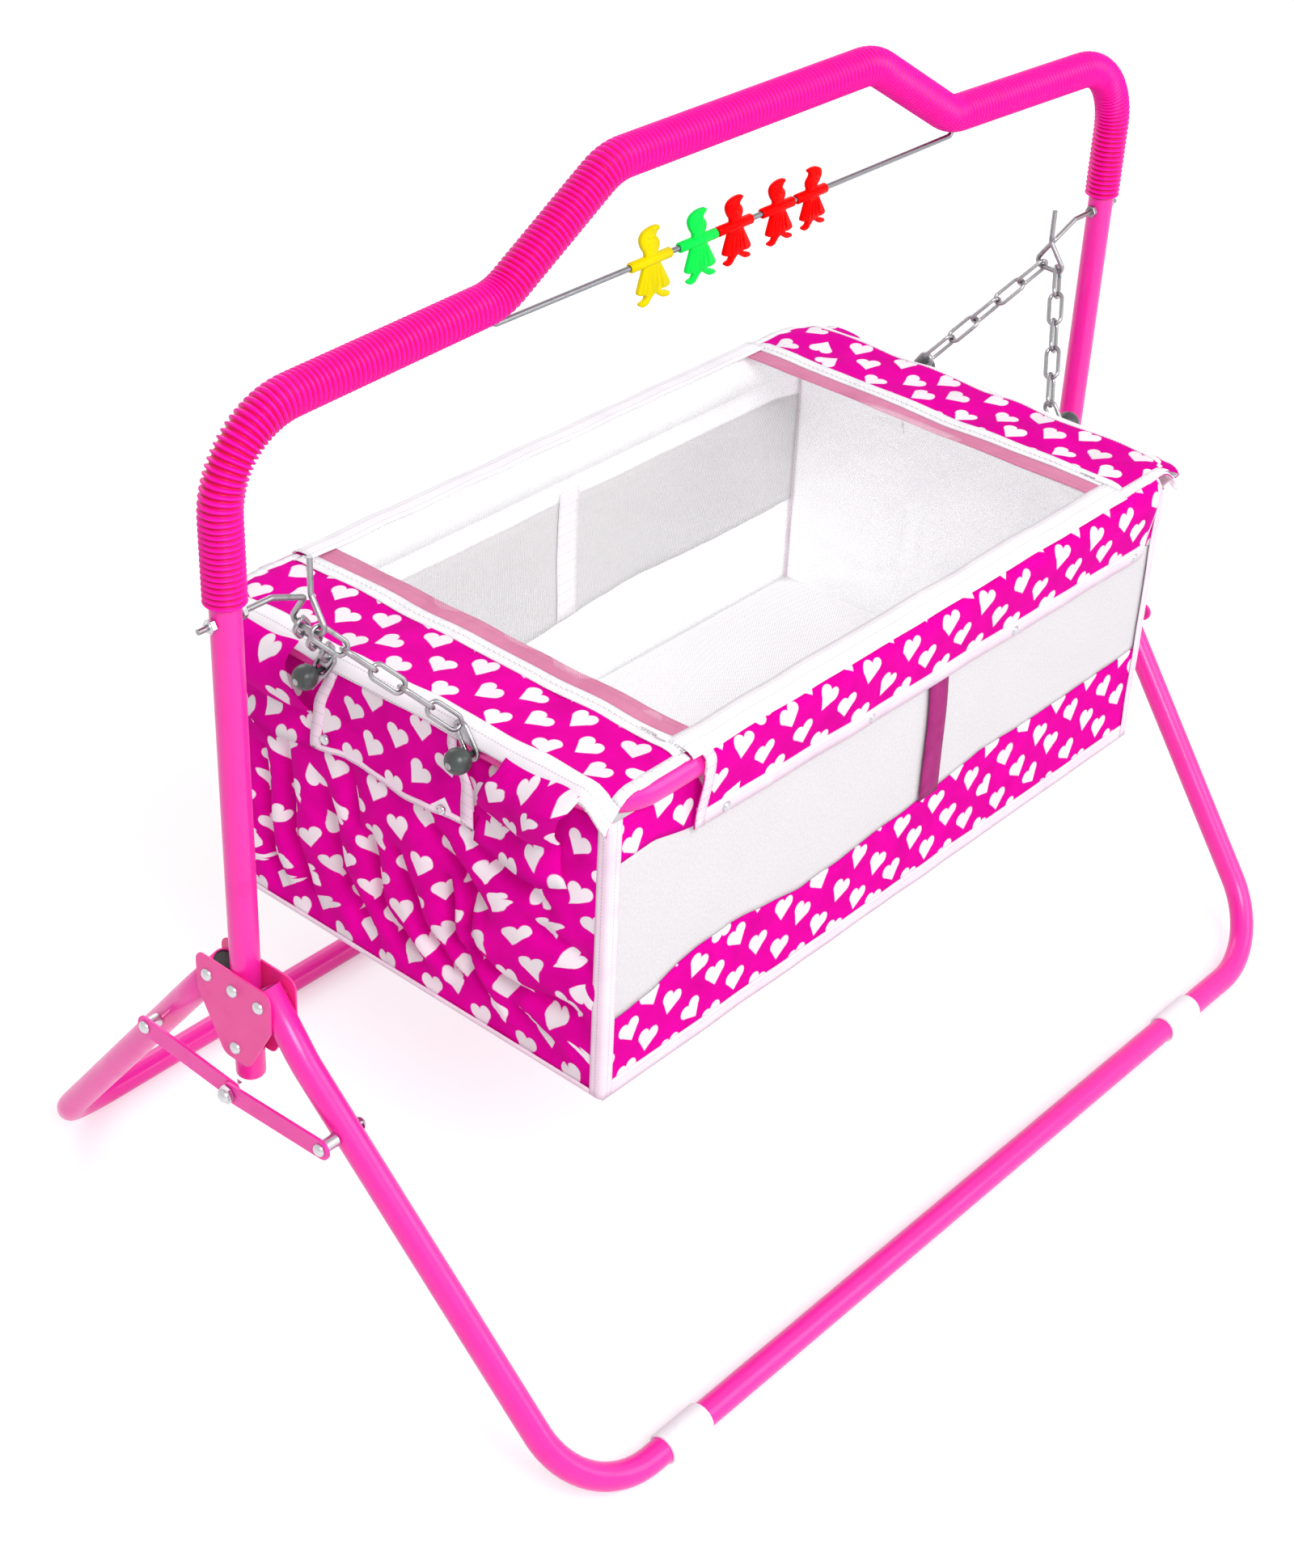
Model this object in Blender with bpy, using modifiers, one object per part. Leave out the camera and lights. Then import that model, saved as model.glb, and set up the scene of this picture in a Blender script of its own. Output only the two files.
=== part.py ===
# Swing cradle: a fabric basket hung by four chains from two uprights, on two folding U-shaped legs.
# Metres, +Z up. X runs along the basket, -Y is the front, and the floor is Z = 0 under the middle of the cradle.
import math

import bmesh
import bpy
from mathutils import Matrix, Vector

# Tubes and clearances
TUBE_DIAMETER = 0.0254
TUBE_WALL = 0.0015
CLEARANCE = 0.0003
OVERRUN = 0.006
WELD = 0.00001
MERGE = 0.00005

# Stand: uprights, pivots and legs
FRAME_HALF_SPAN = 0.590
UPRIGHT_BOTTOM = 0.312
HOOK_HEIGHT = 0.757
SLEEVE_ABOVE_HOOK = 0.014
UPRIGHT_INTO_SLEEVE = 0.044
UPRIGHT_SOCKET_DEPTH = 0.045
PIVOT_HEIGHT = 0.410
PIVOT_OFFSET = 0.0315
LEG_END_BEYOND_PIVOT = 0.011
LEG_END_BORE_DEPTH = 0.040
LEG_STRAIGHT_BELOW_PIVOT = 0.060
STAND_DEPTH = 0.744
FLOOR_HALF_SPAN = 0.549
LEG_BEND_RADIUS = 0.090
LEG_KNEE_RADIUS = 0.150
FOOT_BAND_DIAMETER = 0.0310
FOOT_SOLE_DEPTH = 0.0008
FOOT_BAND_LENGTH = 0.052
FOOT_BAND_FROM_CENTRE = 0.400
FOOT_BAND_SHIFT = -0.026

# Brackets and rivets
BRACKET_THICKNESS = 0.002
BRACKET_HALF_WIDTH = 0.0455
BRACKET_ABOVE_PIVOT = 0.019
BRACKET_SHOULDER_DROP = 0.020
BRACKET_FOOT_HALF_WIDTH = 0.015
BRACKET_BELOW_PIVOT = 0.074
BRACKET_CORNER_RADIUS = 0.010
BRACKET_LOWER_RIVET_DROP = 0.060
RIVET_DIAMETER = 0.006
RIVET_HEAD_DIAMETER = 0.012
RIVET_HEAD_HEIGHT = 0.0042

# Folding braces
BRACE_HEIGHT = 0.313
BRACE_CENTRE_HEIGHT = 0.307
BRACE_WIDTH = 0.020
BRACE_THICKNESS = 0.003
SPACER_DIAMETER = 0.012
CENTRE_NUT_ACROSS = 0.015
CENTRE_NUT_HEIGHT = 0.0055
CENTRE_BOLT_DIAMETER = 0.007
CENTRE_HEAD_HEIGHT = 0.005
CENTRE_DOME_DIAMETER = 0.0125
CENTRE_DOME_HEIGHT = 0.0045

# Overhead arch, its ribbed sleeve and the toy wire
ARCH_CORNER_ABOVE_UPRIGHT = 0.100
ARCH_DIP_HALF_SPAN = 0.301
ARCH_DIP_ABOVE_CORNER = 0.012
ARCH_HUMP_HALF_SPAN = 0.172
ARCH_HUMP_ABOVE_DIP = 0.079
ARCH_CORNER_RADIUS = 0.075
ARCH_DIP_RADIUS = 0.060
ARCH_HUMP_RADIUS = 0.060
SPIGOT_DIAMETER = 0.021
SLEEVE_DIAMETER = 0.035
SLEEVE_VALLEY_DIAMETER = 0.0312
SLEEVE_BORE_DIAMETER = 0.0282
SLEEVE_RIBS = 134
SLEEVE_END_STRAIGHT = 0.004
WIRE_DIAMETER = 0.005
WIRE_BELOW_DIP = 0.0205
WIRE_END_OUTSIDE_DIP = 0.005
WIRE_END_RISE = 0.0165
WIRE_BEND_RADIUS = 0.006

# Hooks
HOOK_DIAMETER = 0.005
HOOK_BEYOND_UPRIGHT = 0.010
HOOK_BEND_FROM_UPRIGHT = 0.045
HOOK_EYE_FROM_UPRIGHT = 0.079
HOOK_APEX_DROP = 0.013
HOOK_BASE_DROP = 0.043
HOOK_BASE_HALF_WIDTH = 0.021
HOOK_TAIL_RISE = 0.020
HOOK_PASS_GAP = 0.0012
HOOK_PASS_SHARES = (0.25, 0.75)
HOOK_BEND_RADIUS = 0.006
HOOK_NUT_ACROSS = 0.011
HOOK_NUT_HEIGHT = 0.005

# Basket
RIM_HALF_LENGTH = 0.400
RIM_HALF_WIDTH = 0.225
RIM_HEIGHT = 0.598
RIM_CORNER_RADIUS = 0.045
BAG_BOTTOM = 0.305
CLOTH = 0.002
PANEL = 0.004
SIDE_LOOP_HALF_LENGTH = 0.330
END_LOOP_INNER = 0.122
END_LOOP_OUTER = 0.178
FLAP_LOOP_HALF = 0.066
FLAP_TOP_HALF = 0.070
FLAP_BOTTOM_HALF = 0.096
FLAP_DROP = 0.081
WINDOW_TOP = 0.545
WINDOW_BOTTOM = 0.410
WINDOW_HALF_LENGTH = 0.386
WINDOW_RECESS = 0.001
PAD_THICKNESS = 0.022
PAD_CROWN = 0.006
PAD_LONG_SHARES = (-1, -0.94, -0.5, 0, 0.5, 0.94, 1)
PAD_WIDE_SHARES = (-1, -0.9, 0, 0.9, 1)
STRIP_INNER = 0.316
STRIP_OUTER_INSET = 0.0015
STRIP_OVERHANG = 0.0075
NET_THICKNESS = 0.0016
NET_CROWN = 0.014

# Chains and the ball-headed bolts that hold them to the rim
CHAIN_BOLT_HALF_SPACING = 0.090
CHAIN_BOLT_DIAMETER = 0.005
BALL_DIAMETER = 0.023
BALL_STANDOFF = 0.0105
BOLT_END_DIAMETER = 0.011
BOLT_END_HEIGHT = 0.004
LINK_COUNT = 6
LINK_WIRE = 0.0042
LINK_WIDTH = 0.0172
LINK_BITE = 0.0013
HOOK_SEAT_HALF_SPACING = 0.0105

# Hanging toy figures
TOY_CENTRES = (-0.118, -0.0575, -0.009, 0.049, 0.096)
TOY_ARM_SPAN = 0.047
TOY_ARM_DIAMETER = 0.0092
TOY_BORE_DIAMETER = 0.0058
TOY_HEIGHT = 0.064
TOY_THICKNESS = 0.0042
TOY_HAND_SHARE = 0.33
# The flat figure round the wire, as shares of its arm span and of its height: quiffed head, then flared dress
# and two feet. The last figure looks the other way, and the set gets smaller along the wire.
TOY_HEAD_SHARES = (
    (0.139, 0.079), (0.185, 0.141), (0.192, 0.203), (0.156, 0.268), (0.119, 0.313), (0.117, 0.346),
    (0.161, 0.366), (0.134, 0.408), (0.039, 0.424), (-0.103, 0.426), (-0.211, 0.404), (-0.271, 0.349),
    (-0.282, 0.275), (-0.229, 0.187), (-0.13, 0.103),
)
TOY_BODY_SHARES = (
    (-0.159, -0.048), (-0.176, -0.102), (-0.264, -0.295), (-0.296, -0.375), (-0.248, -0.4), (-0.082, -0.425),
    (-0.106, -0.481), (-0.232, -0.503), (-0.24, -0.53), (-0.171, -0.566), (-0.042, -0.558), (0.025, -0.493),
    (0.128, -0.433), (0.242, -0.495), (0.329, -0.538), (0.492, -0.546), (0.501, -0.506), (0.446, -0.475),
    (0.333, -0.452), (0.246, -0.409), (0.388, -0.425), (0.485, -0.403), (0.491, -0.358), (0.363, -0.213),
    (0.245, -0.077), (0.212, -0.038),
)
TOY_SIZE_SHARES = (1.1, 1.04, 0.98, 0.94, 0.9)
TOY_LOOK_SIGNS = (1, 1, 1, 1, -1)

# Facet counts
TUBE_RESOLUTION = 3
WIRE_RESOLUTION = 2
LINK_RESOLUTION = 1
BEND_STEPS = 4
ARCH_BEND_STEPS = 6
TIGHT_BEND_STEPS = 3
DOME_STEPS = 2
BALL_STEPS = 6
ROUND_STEPS = 8
BAND_STEPS = 16
LOOP_STEPS = 12
HOLE_STEPS = 8
LINK_END_POINTS = 4
HEX_SIDES = 6
CHAIN_FIT_ROUNDS = 40
SHARP_DEGREES = 35

TUBE_RADIUS = TUBE_DIAMETER / 2
SLEEVE_END_HEIGHT = HOOK_HEIGHT + SLEEVE_ABOVE_HOOK
UPRIGHT_TOP = SLEEVE_END_HEIGHT + UPRIGHT_INTO_SLEEVE
ARCH_CORNER_HEIGHT = UPRIGHT_TOP + ARCH_CORNER_ABOVE_UPRIGHT
ARCH_DIP_HEIGHT = ARCH_CORNER_HEIGHT + ARCH_DIP_ABOVE_CORNER
ARCH_HUMP_HEIGHT = ARCH_DIP_HEIGHT + ARCH_HUMP_ABOVE_DIP
WIRE_HEIGHT = ARCH_DIP_HEIGHT - WIRE_BELOW_DIP
WIRE_HALF_SPAN = ARCH_DIP_HALF_SPAN + WIRE_END_OUTSIDE_DIP
FRONT = -1
BACK = 1
SIDES = (("left", -1), ("right", 1))
# A regular outline of n sides clears a round bore only by its inscribed circle.
HOLE_SHARE = 1 / math.cos(math.pi / HOLE_STEPS)
LOOP_SHARE = 1 / math.cos(math.pi / LOOP_STEPS)
BAND_SHARE = 1 / math.cos(math.pi / BAND_STEPS)
HEX_SHARE = 1 / math.cos(math.pi / HEX_SIDES)
# A link's end is a chord between its two end points, a little inside the full half circle.
LINK_CROWN_SHARE = math.cos(math.pi / 2 / (LINK_END_POINTS - 1))


def clear_scene():
    for obj in list(bpy.data.objects):
        bpy.data.objects.remove(obj, do_unlink=True)


def new_collection(name):
    collection = bpy.data.collections.new(name)
    bpy.context.scene.collection.children.link(collection)
    return collection


def paint(name, colour, roughness, metallic=0.0):
    material = bpy.data.materials.new(name)
    material.use_nodes = True
    shader = material.node_tree.nodes["Principled BSDF"]
    shader.inputs["Base Color"].default_value = (*colour, 1.0)
    shader.inputs["Roughness"].default_value = roughness
    shader.inputs["Metallic"].default_value = metallic
    material.diffuse_color = (*colour, 1.0)
    return material


clear_scene()
parts = new_collection("swing_cradle")
cutters = new_collection("swing_cradle_cutters")
PINK_PAINT = paint("pink_paint", (0.90, 0.08, 0.42), 0.32)
PINK_SLEEVE = paint("pink_sleeve", (0.86, 0.02, 0.30), 0.45)
STEEL = paint("bright_steel", (0.70, 0.70, 0.71), 0.25, 1.0)
DARK_KNOB = paint("dark_knob", (0.05, 0.06, 0.06), 0.3)
WHITE_PLASTIC = paint("white_plastic", (0.85, 0.85, 0.86), 0.4)
CLOTH_PINK = paint("magenta_cloth", (0.74, 0.01, 0.36), 0.85)
WHITE_NET = paint("white_net", (0.86, 0.86, 0.88), 0.8)
WHITE_PAD = paint("white_pad", (0.84, 0.82, 0.84), 0.85)
TOY_COLOURS = (
    paint("yellow_toy", (0.95, 0.68, 0.03), 0.35),
    paint("green_toy", (0.05, 0.50, 0.14), 0.35),
    paint("red_toy", (0.80, 0.03, 0.03), 0.35),
)


def add_object(name, mesh, material, collection=parts):
    obj = bpy.data.objects.new(name, mesh)
    if material is not None and not mesh.materials:
        mesh.materials.append(material)
    collection.objects.link(obj)
    return obj


def mesh_of(name, bm):
    mesh = bpy.data.meshes.new(name)
    bmesh.ops.recalc_face_normals(bm, faces=bm.faces)
    bm.to_mesh(mesh)
    bm.free()
    return mesh


def smooth(obj):
    obj.data.shade_smooth()
    obj.data.set_sharp_from_angle(angle=math.radians(SHARP_DEGREES))
    return obj


def hide_as_cutter(obj):
    obj.hide_render = True
    obj.display_type = "WIRE"
    return obj


def boolean(target, tool, operation):
    modifier = target.modifiers.new(operation.lower(), "BOOLEAN")
    modifier.operation = operation
    modifier.solver = "EXACT"
    modifier.object = tool
    return target


def cut(target, *tools):
    for tool in tools:
        boolean(target, tool, "DIFFERENCE")
    return target


def bake(obj, name=None):
    # The evaluated mesh in world space, welded, as a plain object.
    bpy.context.view_layer.update()
    evaluated = obj.evaluated_get(bpy.context.evaluated_depsgraph_get())
    mesh = bpy.data.meshes.new_from_object(evaluated)
    mesh.transform(obj.matrix_world)
    bm = bmesh.new()
    bm.from_mesh(mesh)
    bmesh.ops.remove_doubles(bm, verts=bm.verts, dist=WELD)
    bmesh.ops.recalc_face_normals(bm, faces=bm.faces)
    bm.to_mesh(mesh)
    bm.free()
    title = name or obj.name
    collection = obj.users_collection[0]
    bpy.data.objects.remove(obj, do_unlink=True)
    baked = bpy.data.objects.new(title, mesh)
    baked.name = title
    collection.objects.link(baked)
    return baked


def fuse(name, pieces, material):
    # One closed body out of pieces that bite into each other.
    body = pieces[0]
    for piece in pieces[1:]:
        boolean(body, piece, "UNION")
    fused = bake(body, name)
    for piece in pieces[1:]:
        bpy.data.objects.remove(piece, do_unlink=True)
    fused.data.materials.clear()
    fused.data.materials.append(material)
    return fused


def rounded_path(points, radii, steps=BEND_STEPS, closed=False):
    # Straight runs with a circular bend of the given radius at each inner corner.
    count = len(points)
    path = []
    for index, point in enumerate(points):
        inner = closed or 0 < index < count - 1
        radius = radii[index]
        if not inner or radius == 0:
            path.append(Vector(point))
            continue
        before = (Vector(points[index - 1]) - Vector(point)).normalized()
        after = (Vector(points[(index + 1) % count]) - Vector(point)).normalized()
        half = before.angle(after) / 2
        centre = Vector(point) + (before + after).normalized() * (radius / math.sin(half))
        start = Vector(point) + before * (radius / math.tan(half)) - centre
        end = Vector(point) + after * (radius / math.tan(half)) - centre
        turn = start.angle(end)
        for step in range(steps + 1):
            share = step / steps
            a = math.sin((1 - share) * turn) / math.sin(turn)
            b = math.sin(share * turn) / math.sin(turn)
            path.append(centre + start * a + end * b)
    return path


def tube(name, path, radii, material, resolution=TUBE_RESOLUTION, closed=False, collection=parts):
    # A round bar along a path; radii is one radius or one for each point.
    if not isinstance(radii, (list, tuple)):
        radii = [radii] * len(path)
    curve = bpy.data.curves.new(name, "CURVE")
    curve.dimensions = "3D"
    curve.bevel_depth = max(radii)
    curve.bevel_resolution = resolution
    curve.use_fill_caps = not closed
    spline = curve.splines.new("POLY")
    spline.points.add(len(path) - 1)
    spline.use_cyclic_u = closed
    for point, place, radius in zip(spline.points, path, radii):
        point.co = (*place, 1.0)
        point.radius = radius / max(radii)
    obj = bpy.data.objects.new(name, curve)
    collection.objects.link(obj)
    bar = bake(obj, name)
    bar.data.materials.clear()
    bar.data.materials.append(material)
    return smooth(bar)


def along_x():
    return Matrix(((0, 0, 1), (1, 0, 0), (0, 1, 0))).to_4x4()


def rod_x(name, low_x, high_x, y, z, radius, steps=HOLE_STEPS, collection=None):
    # A plain round rod along X, used for holes.
    bm = bmesh.new()
    length = high_x - low_x
    place = Matrix.Translation(((low_x + high_x) / 2, y, z)) @ along_x()
    bmesh.ops.create_cone(
        bm, cap_ends=True, segments=steps, radius1=radius, radius2=radius, depth=length, matrix=place
    )
    return hide_as_cutter(add_object(name, mesh_of(name, bm), None, collection or cutters))


def cylinder_between(name, start, end, radius, steps=HOLE_STEPS, collection=None):
    bm = bmesh.new()
    direction = Vector(end) - Vector(start)
    turn = direction.to_track_quat("Z", "Y").to_matrix().to_4x4()
    place = Matrix.Translation((Vector(start) + Vector(end)) / 2) @ turn
    bmesh.ops.create_cone(
        bm, cap_ends=True, segments=steps, radius1=radius, radius2=radius, depth=direction.length, matrix=place
    )
    return add_object(name, mesh_of(name, bm), None, collection or cutters)


def box(name, low, high, collection=None):
    bm = bmesh.new()
    size = Vector(high) - Vector(low)
    place = Matrix.Translation((Vector(low) + Vector(high)) / 2) @ Matrix.Diagonal((*size, 1.0))
    bmesh.ops.create_cube(bm, size=1.0, matrix=place)
    return add_object(name, mesh_of(name, bm), None, collection or parts)


def turned(name, profile, material, place, steps=ROUND_STEPS):
    # A profile of (radius, height) points, from the axis at the top down the outer side to the axis below.
    mesh = bpy.data.meshes.new(name)
    mesh.from_pydata([(r, 0, z) for r, z in profile], [(i, i + 1) for i in range(len(profile) - 1)], [])
    obj = add_object(name, mesh, material)
    obj.matrix_world = place
    screw = obj.modifiers.new("turn", "SCREW")
    screw.steps = steps
    screw.render_steps = steps
    screw.use_merge_vertices = True
    screw.merge_threshold = MERGE
    screw.use_smooth_shade = True
    return obj


def plate(name, loops, thickness, place, material, collection=parts):
    # A flat piece from closed 2D loops: the first is the outline, the others are holes.
    curve = bpy.data.curves.new(name, "CURVE")
    curve.dimensions = "2D"
    curve.fill_mode = "BOTH"
    curve.extrude = thickness / 2
    for loop in loops:
        spline = curve.splines.new("POLY")
        spline.points.add(len(loop) - 1)
        spline.use_cyclic_u = True
        for point, (u, v) in zip(spline.points, loop):
            point.co = (u, v, 0, 1)
    obj = bpy.data.objects.new(name, curve)
    collection.objects.link(obj)
    obj.matrix_world = place
    flat = bake(obj, name)
    flat.data.materials.clear()
    if material is not None:
        flat.data.materials.append(material)
    return flat


def circle(u, v, radius, steps=HOLE_STEPS):
    turns = [2 * math.pi * step / steps for step in range(steps)]
    return [(u + radius * math.cos(turn), v + radius * math.sin(turn)) for turn in turns]


def soft_outline(corners, radius, steps=TIGHT_BEND_STEPS):
    points = [(u, v, 0) for u, v in corners]
    return [(p.x, p.y) for p in rounded_path(points, [radius] * len(points), steps, closed=True)]


def domed(radius, height, steps=DOME_STEPS):
    # Points of a quarter dome, from its top on the axis to its rim.
    angles = [math.pi / 2 * step / steps for step in range(steps + 1)]
    return [(radius * math.sin(a), height * math.cos(a)) for a in angles]


def upright(side, sign):
    x = sign * FRAME_HALF_SPAN
    socket_floor = UPRIGHT_TOP - UPRIGHT_SOCKET_DEPTH
    profile = [
        (0, socket_floor),
        (TUBE_RADIUS - TUBE_WALL, socket_floor),
        (TUBE_RADIUS - TUBE_WALL, UPRIGHT_TOP),
        (TUBE_RADIUS, UPRIGHT_TOP),
    ]
    profile += [(r, UPRIGHT_BOTTOM + TUBE_RADIUS / 2 - z) for r, z in reversed(domed(TUBE_RADIUS, TUBE_RADIUS / 2))]
    obj = turned(f"upright_{side}", profile, PINK_PAINT, Matrix.Translation((x, 0, 0)), steps=BAND_STEPS)
    reach = TUBE_RADIUS + OVERRUN
    drilled = (
        (HOOK_HEIGHT, HOOK_DIAMETER),
        (PIVOT_HEIGHT, RIVET_DIAMETER),
        (PIVOT_HEIGHT - BRACKET_LOWER_RIVET_DROP, RIVET_DIAMETER),
    )
    for index, (height, diameter) in enumerate(drilled):
        radius = (diameter / 2 + CLEARANCE) * HOLE_SHARE
        cut(obj, rod_x(f"upright_hole_{side}_{index}", x - reach, x + reach, 0, height, radius))


def arch_points():
    low = ARCH_CORNER_HEIGHT
    half = [
        ((FRAME_HALF_SPAN, low), ARCH_CORNER_RADIUS),
        ((ARCH_DIP_HALF_SPAN, ARCH_DIP_HEIGHT), ARCH_DIP_RADIUS),
        ((ARCH_HUMP_HALF_SPAN, ARCH_HUMP_HEIGHT), ARCH_HUMP_RADIUS),
    ]
    corners = [((-x, 0, z), r) for (x, z), r in half]
    corners += [((x, 0, z), r) for (x, z), r in reversed(half)]
    return corners


def arch_route(start_height, steps=ARCH_BEND_STEPS):
    ends = [(-FRAME_HALF_SPAN, 0, start_height), (FRAME_HALF_SPAN, 0, start_height)]
    corners = arch_points()
    points = [ends[0]] + [c for c, r in corners] + [ends[1]]
    radii = [0] + [r for c, r in corners] + [0]
    return rounded_path(points, radii, steps)


def arch_tube():
    # The ends are swaged down and plug into the uprights under the sleeve.
    route = arch_route(UPRIGHT_TOP + CLEARANCE)
    shoulder = UPRIGHT_TOP + CLEARANCE
    plug = UPRIGHT_TOP - UPRIGHT_SOCKET_DEPTH + CLEARANCE
    inner, outer = SPIGOT_DIAMETER / 2, TUBE_RADIUS
    ends = []
    for sign in (-1, 1):
        x = sign * FRAME_HALF_SPAN
        ends.append([Vector((x, 0, plug)), Vector((x, 0, shoulder)), Vector((x, 0, shoulder + CLEARANCE))])
    path = ends[0] + route[1:-1] + list(reversed(ends[1]))
    radii = [inner, inner] + [outer] * (len(path) - 4) + [inner, inner]
    obj = tube("arch_tube", path, radii, PINK_PAINT)
    return cut(obj, *wire_end_holes("arch"))


def wire_end_holes(label):
    holes = []
    radius = (WIRE_DIAMETER / 2 + CLEARANCE) * HOLE_SHARE
    top = WIRE_HEIGHT + WIRE_END_RISE + CLEARANCE
    for side, sign in SIDES:
        x = sign * WIRE_HALF_SPAN
        hole = cylinder_between(
            f"wire_hole_{label}_{side}", (x, 0, WIRE_HEIGHT - SLEEVE_DIAMETER / 2), (x, 0, top), radius
        )
        holes.append(hide_as_cutter(hole))
    return holes


def resample(path, count):
    # Evenly spaced points along a path of straight pieces.
    lengths = [(b - a).length for a, b in zip(path, path[1:])]
    total = sum(lengths)
    places = []
    piece, run = 0, 0.0
    for index in range(count):
        goal = total * index / (count - 1)
        while piece < len(lengths) - 1 and run + lengths[piece] < goal:
            run += lengths[piece]
            piece += 1
        share = (goal - run) / lengths[piece]
        places.append(path[piece].lerp(path[piece + 1], min(max(share, 0.0), 1.0)))
    return places


def arch_sleeve():
    # Ribbed hose: each rib is a crest and a valley point; the ends run straight and plain.
    ribbed_end = SLEEVE_END_HEIGHT + SLEEVE_END_STRAIGHT
    middle = resample(arch_route(ribbed_end), 2 * SLEEVE_RIBS + 1)
    left = Vector((-FRAME_HALF_SPAN, 0, SLEEVE_END_HEIGHT))
    right = Vector((FRAME_HALF_SPAN, 0, SLEEVE_END_HEIGHT))
    crest, valley = SLEEVE_DIAMETER / 2, SLEEVE_VALLEY_DIAMETER / 2
    radii = [valley] + [valley if i % 2 == 0 else crest for i in range(len(middle))] + [valley]
    hose = tube("arch_sleeve", [left] + middle + [right], radii, PINK_SLEEVE, WIRE_RESOLUTION)
    bore_path = arch_route(SLEEVE_END_HEIGHT - OVERRUN)
    bore = tube("sleeve_bore", bore_path, SLEEVE_BORE_DIAMETER / 2, PINK_SLEEVE, WIRE_RESOLUTION, collection=cutters)
    return cut(hose, hide_as_cutter(bore), *wire_end_holes("sleeve"))


def toy_wire():
    rise = WIRE_HEIGHT + WIRE_END_RISE
    points = [
        (-WIRE_HALF_SPAN, 0, rise),
        (-WIRE_HALF_SPAN, 0, WIRE_HEIGHT),
        (WIRE_HALF_SPAN, 0, WIRE_HEIGHT),
        (WIRE_HALF_SPAN, 0, rise),
    ]
    path = rounded_path(points, [0, WIRE_BEND_RADIUS, WIRE_BEND_RADIUS, 0], TIGHT_BEND_STEPS)
    tube("toy_wire", path, WIRE_DIAMETER / 2, STEEL, WIRE_RESOLUTION)


def leg_line(facing):
    # Pivot, knee and floor corner of one side of a leg, seen from the end of the cradle as (y, z).
    banded = FOOT_BAND_DIAMETER / 2
    floor = banded - FOOT_SOLE_DEPTH if facing == FRONT else TUBE_RADIUS
    spread = STAND_DEPTH / 2 - (banded if facing == FRONT else TUBE_RADIUS)
    pivot = Vector((facing * PIVOT_OFFSET, PIVOT_HEIGHT))
    corner = Vector((facing * spread, floor))
    return pivot, corner, (corner - pivot).normalized()


def leg_point(facing, drop):
    # A point of the leg's axis at a distance down the leg from its pivot, as (x, y, z) for the right side.
    pivot, corner, down = leg_line(facing)
    length = (corner - pivot).length
    share = max(drop - LEG_STRAIGHT_BELOW_PIVOT, 0) / (length - LEG_STRAIGHT_BELOW_PIVOT)
    x = FRAME_HALF_SPAN + (FLOOR_HALF_SPAN - FRAME_HALF_SPAN) * share
    place = pivot + down * drop
    return Vector((x, place.x, place.y))


def brace_drop(facing):
    # How far down the leg the brace is riveted.
    pivot, corner, down = leg_line(facing)
    return (BRACE_HEIGHT - PIVOT_HEIGHT) / down.y


def leg(facing, name):
    pivot, corner, down = leg_line(facing)
    length = (corner - pivot).length
    stations = (-LEG_END_BEYOND_PIVOT, LEG_STRAIGHT_BELOW_PIVOT, length)
    right = [leg_point(facing, drop) for drop in stations]
    mirrored = [Vector((-p.x, p.y, p.z)) for p in right]
    points = mirrored + list(reversed(right))
    radii = [0, LEG_KNEE_RADIUS, LEG_BEND_RADIUS, LEG_BEND_RADIUS, LEG_KNEE_RADIUS, 0]
    path = rounded_path(points, radii)
    obj = tube(name, path, TUBE_RADIUS, PINK_PAINT)
    for side, sign in SIDES:
        x = sign * FRAME_HALF_SPAN
        reach = TUBE_RADIUS + OVERRUN
        top = leg_point(facing, -LEG_END_BEYOND_PIVOT - OVERRUN)
        low = leg_point(facing, LEG_END_BORE_DEPTH - LEG_END_BEYOND_PIVOT)
        start, end = Vector((sign * top.x, top.y, top.z)), Vector((sign * low.x, low.y, low.z))
        bore = cylinder_between(f"{name}_bore_{side}", start, end, TUBE_RADIUS - TUBE_WALL)
        pin_radius = (RIVET_DIAMETER / 2 + CLEARANCE) * HOLE_SHARE
        pin = rod_x(f"{name}_pivot_hole_{side}", x - reach, x + reach, pivot.x, pivot.y, pin_radius)
        seat = leg_point(facing, brace_drop(facing))
        stud_x = sign * seat.x
        stud = rod_x(f"{name}_stud_hole_{side}", stud_x - reach, stud_x + reach, seat.y, seat.z, pin_radius)
        cut(obj, hide_as_cutter(bore), pin, stud)
    return obj


def foot_bands():
    corner = leg_line(FRONT)[1]
    bore = (TUBE_RADIUS + CLEARANCE) * BAND_SHARE
    outer = FOOT_BAND_DIAMETER / 2
    half = FOOT_BAND_LENGTH / 2
    lip = (outer - bore) / 2
    for side, sign in SIDES:
        profile = [(bore, half), (outer - lip, half), (outer, half - lip), (outer, lip - half), (outer - lip, -half)]
        profile += [(bore, -half), (bore, half)]
        middle = sign * FOOT_BAND_FROM_CENTRE + FOOT_BAND_SHIFT
        place = Matrix.Translation((middle, corner.x, corner.y)) @ along_x()
        band = turned(f"foot_band_{side}", profile, WHITE_PLASTIC, place, steps=BAND_STEPS)
        sole = box(
            f"band_sole_{side}",
            (middle - half - OVERRUN, corner.x - outer - OVERRUN, -OVERRUN),
            (middle + half + OVERRUN, corner.x + outer + OVERRUN, 0),
            cutters,
        )
        cut(band, hide_as_cutter(sole))


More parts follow.
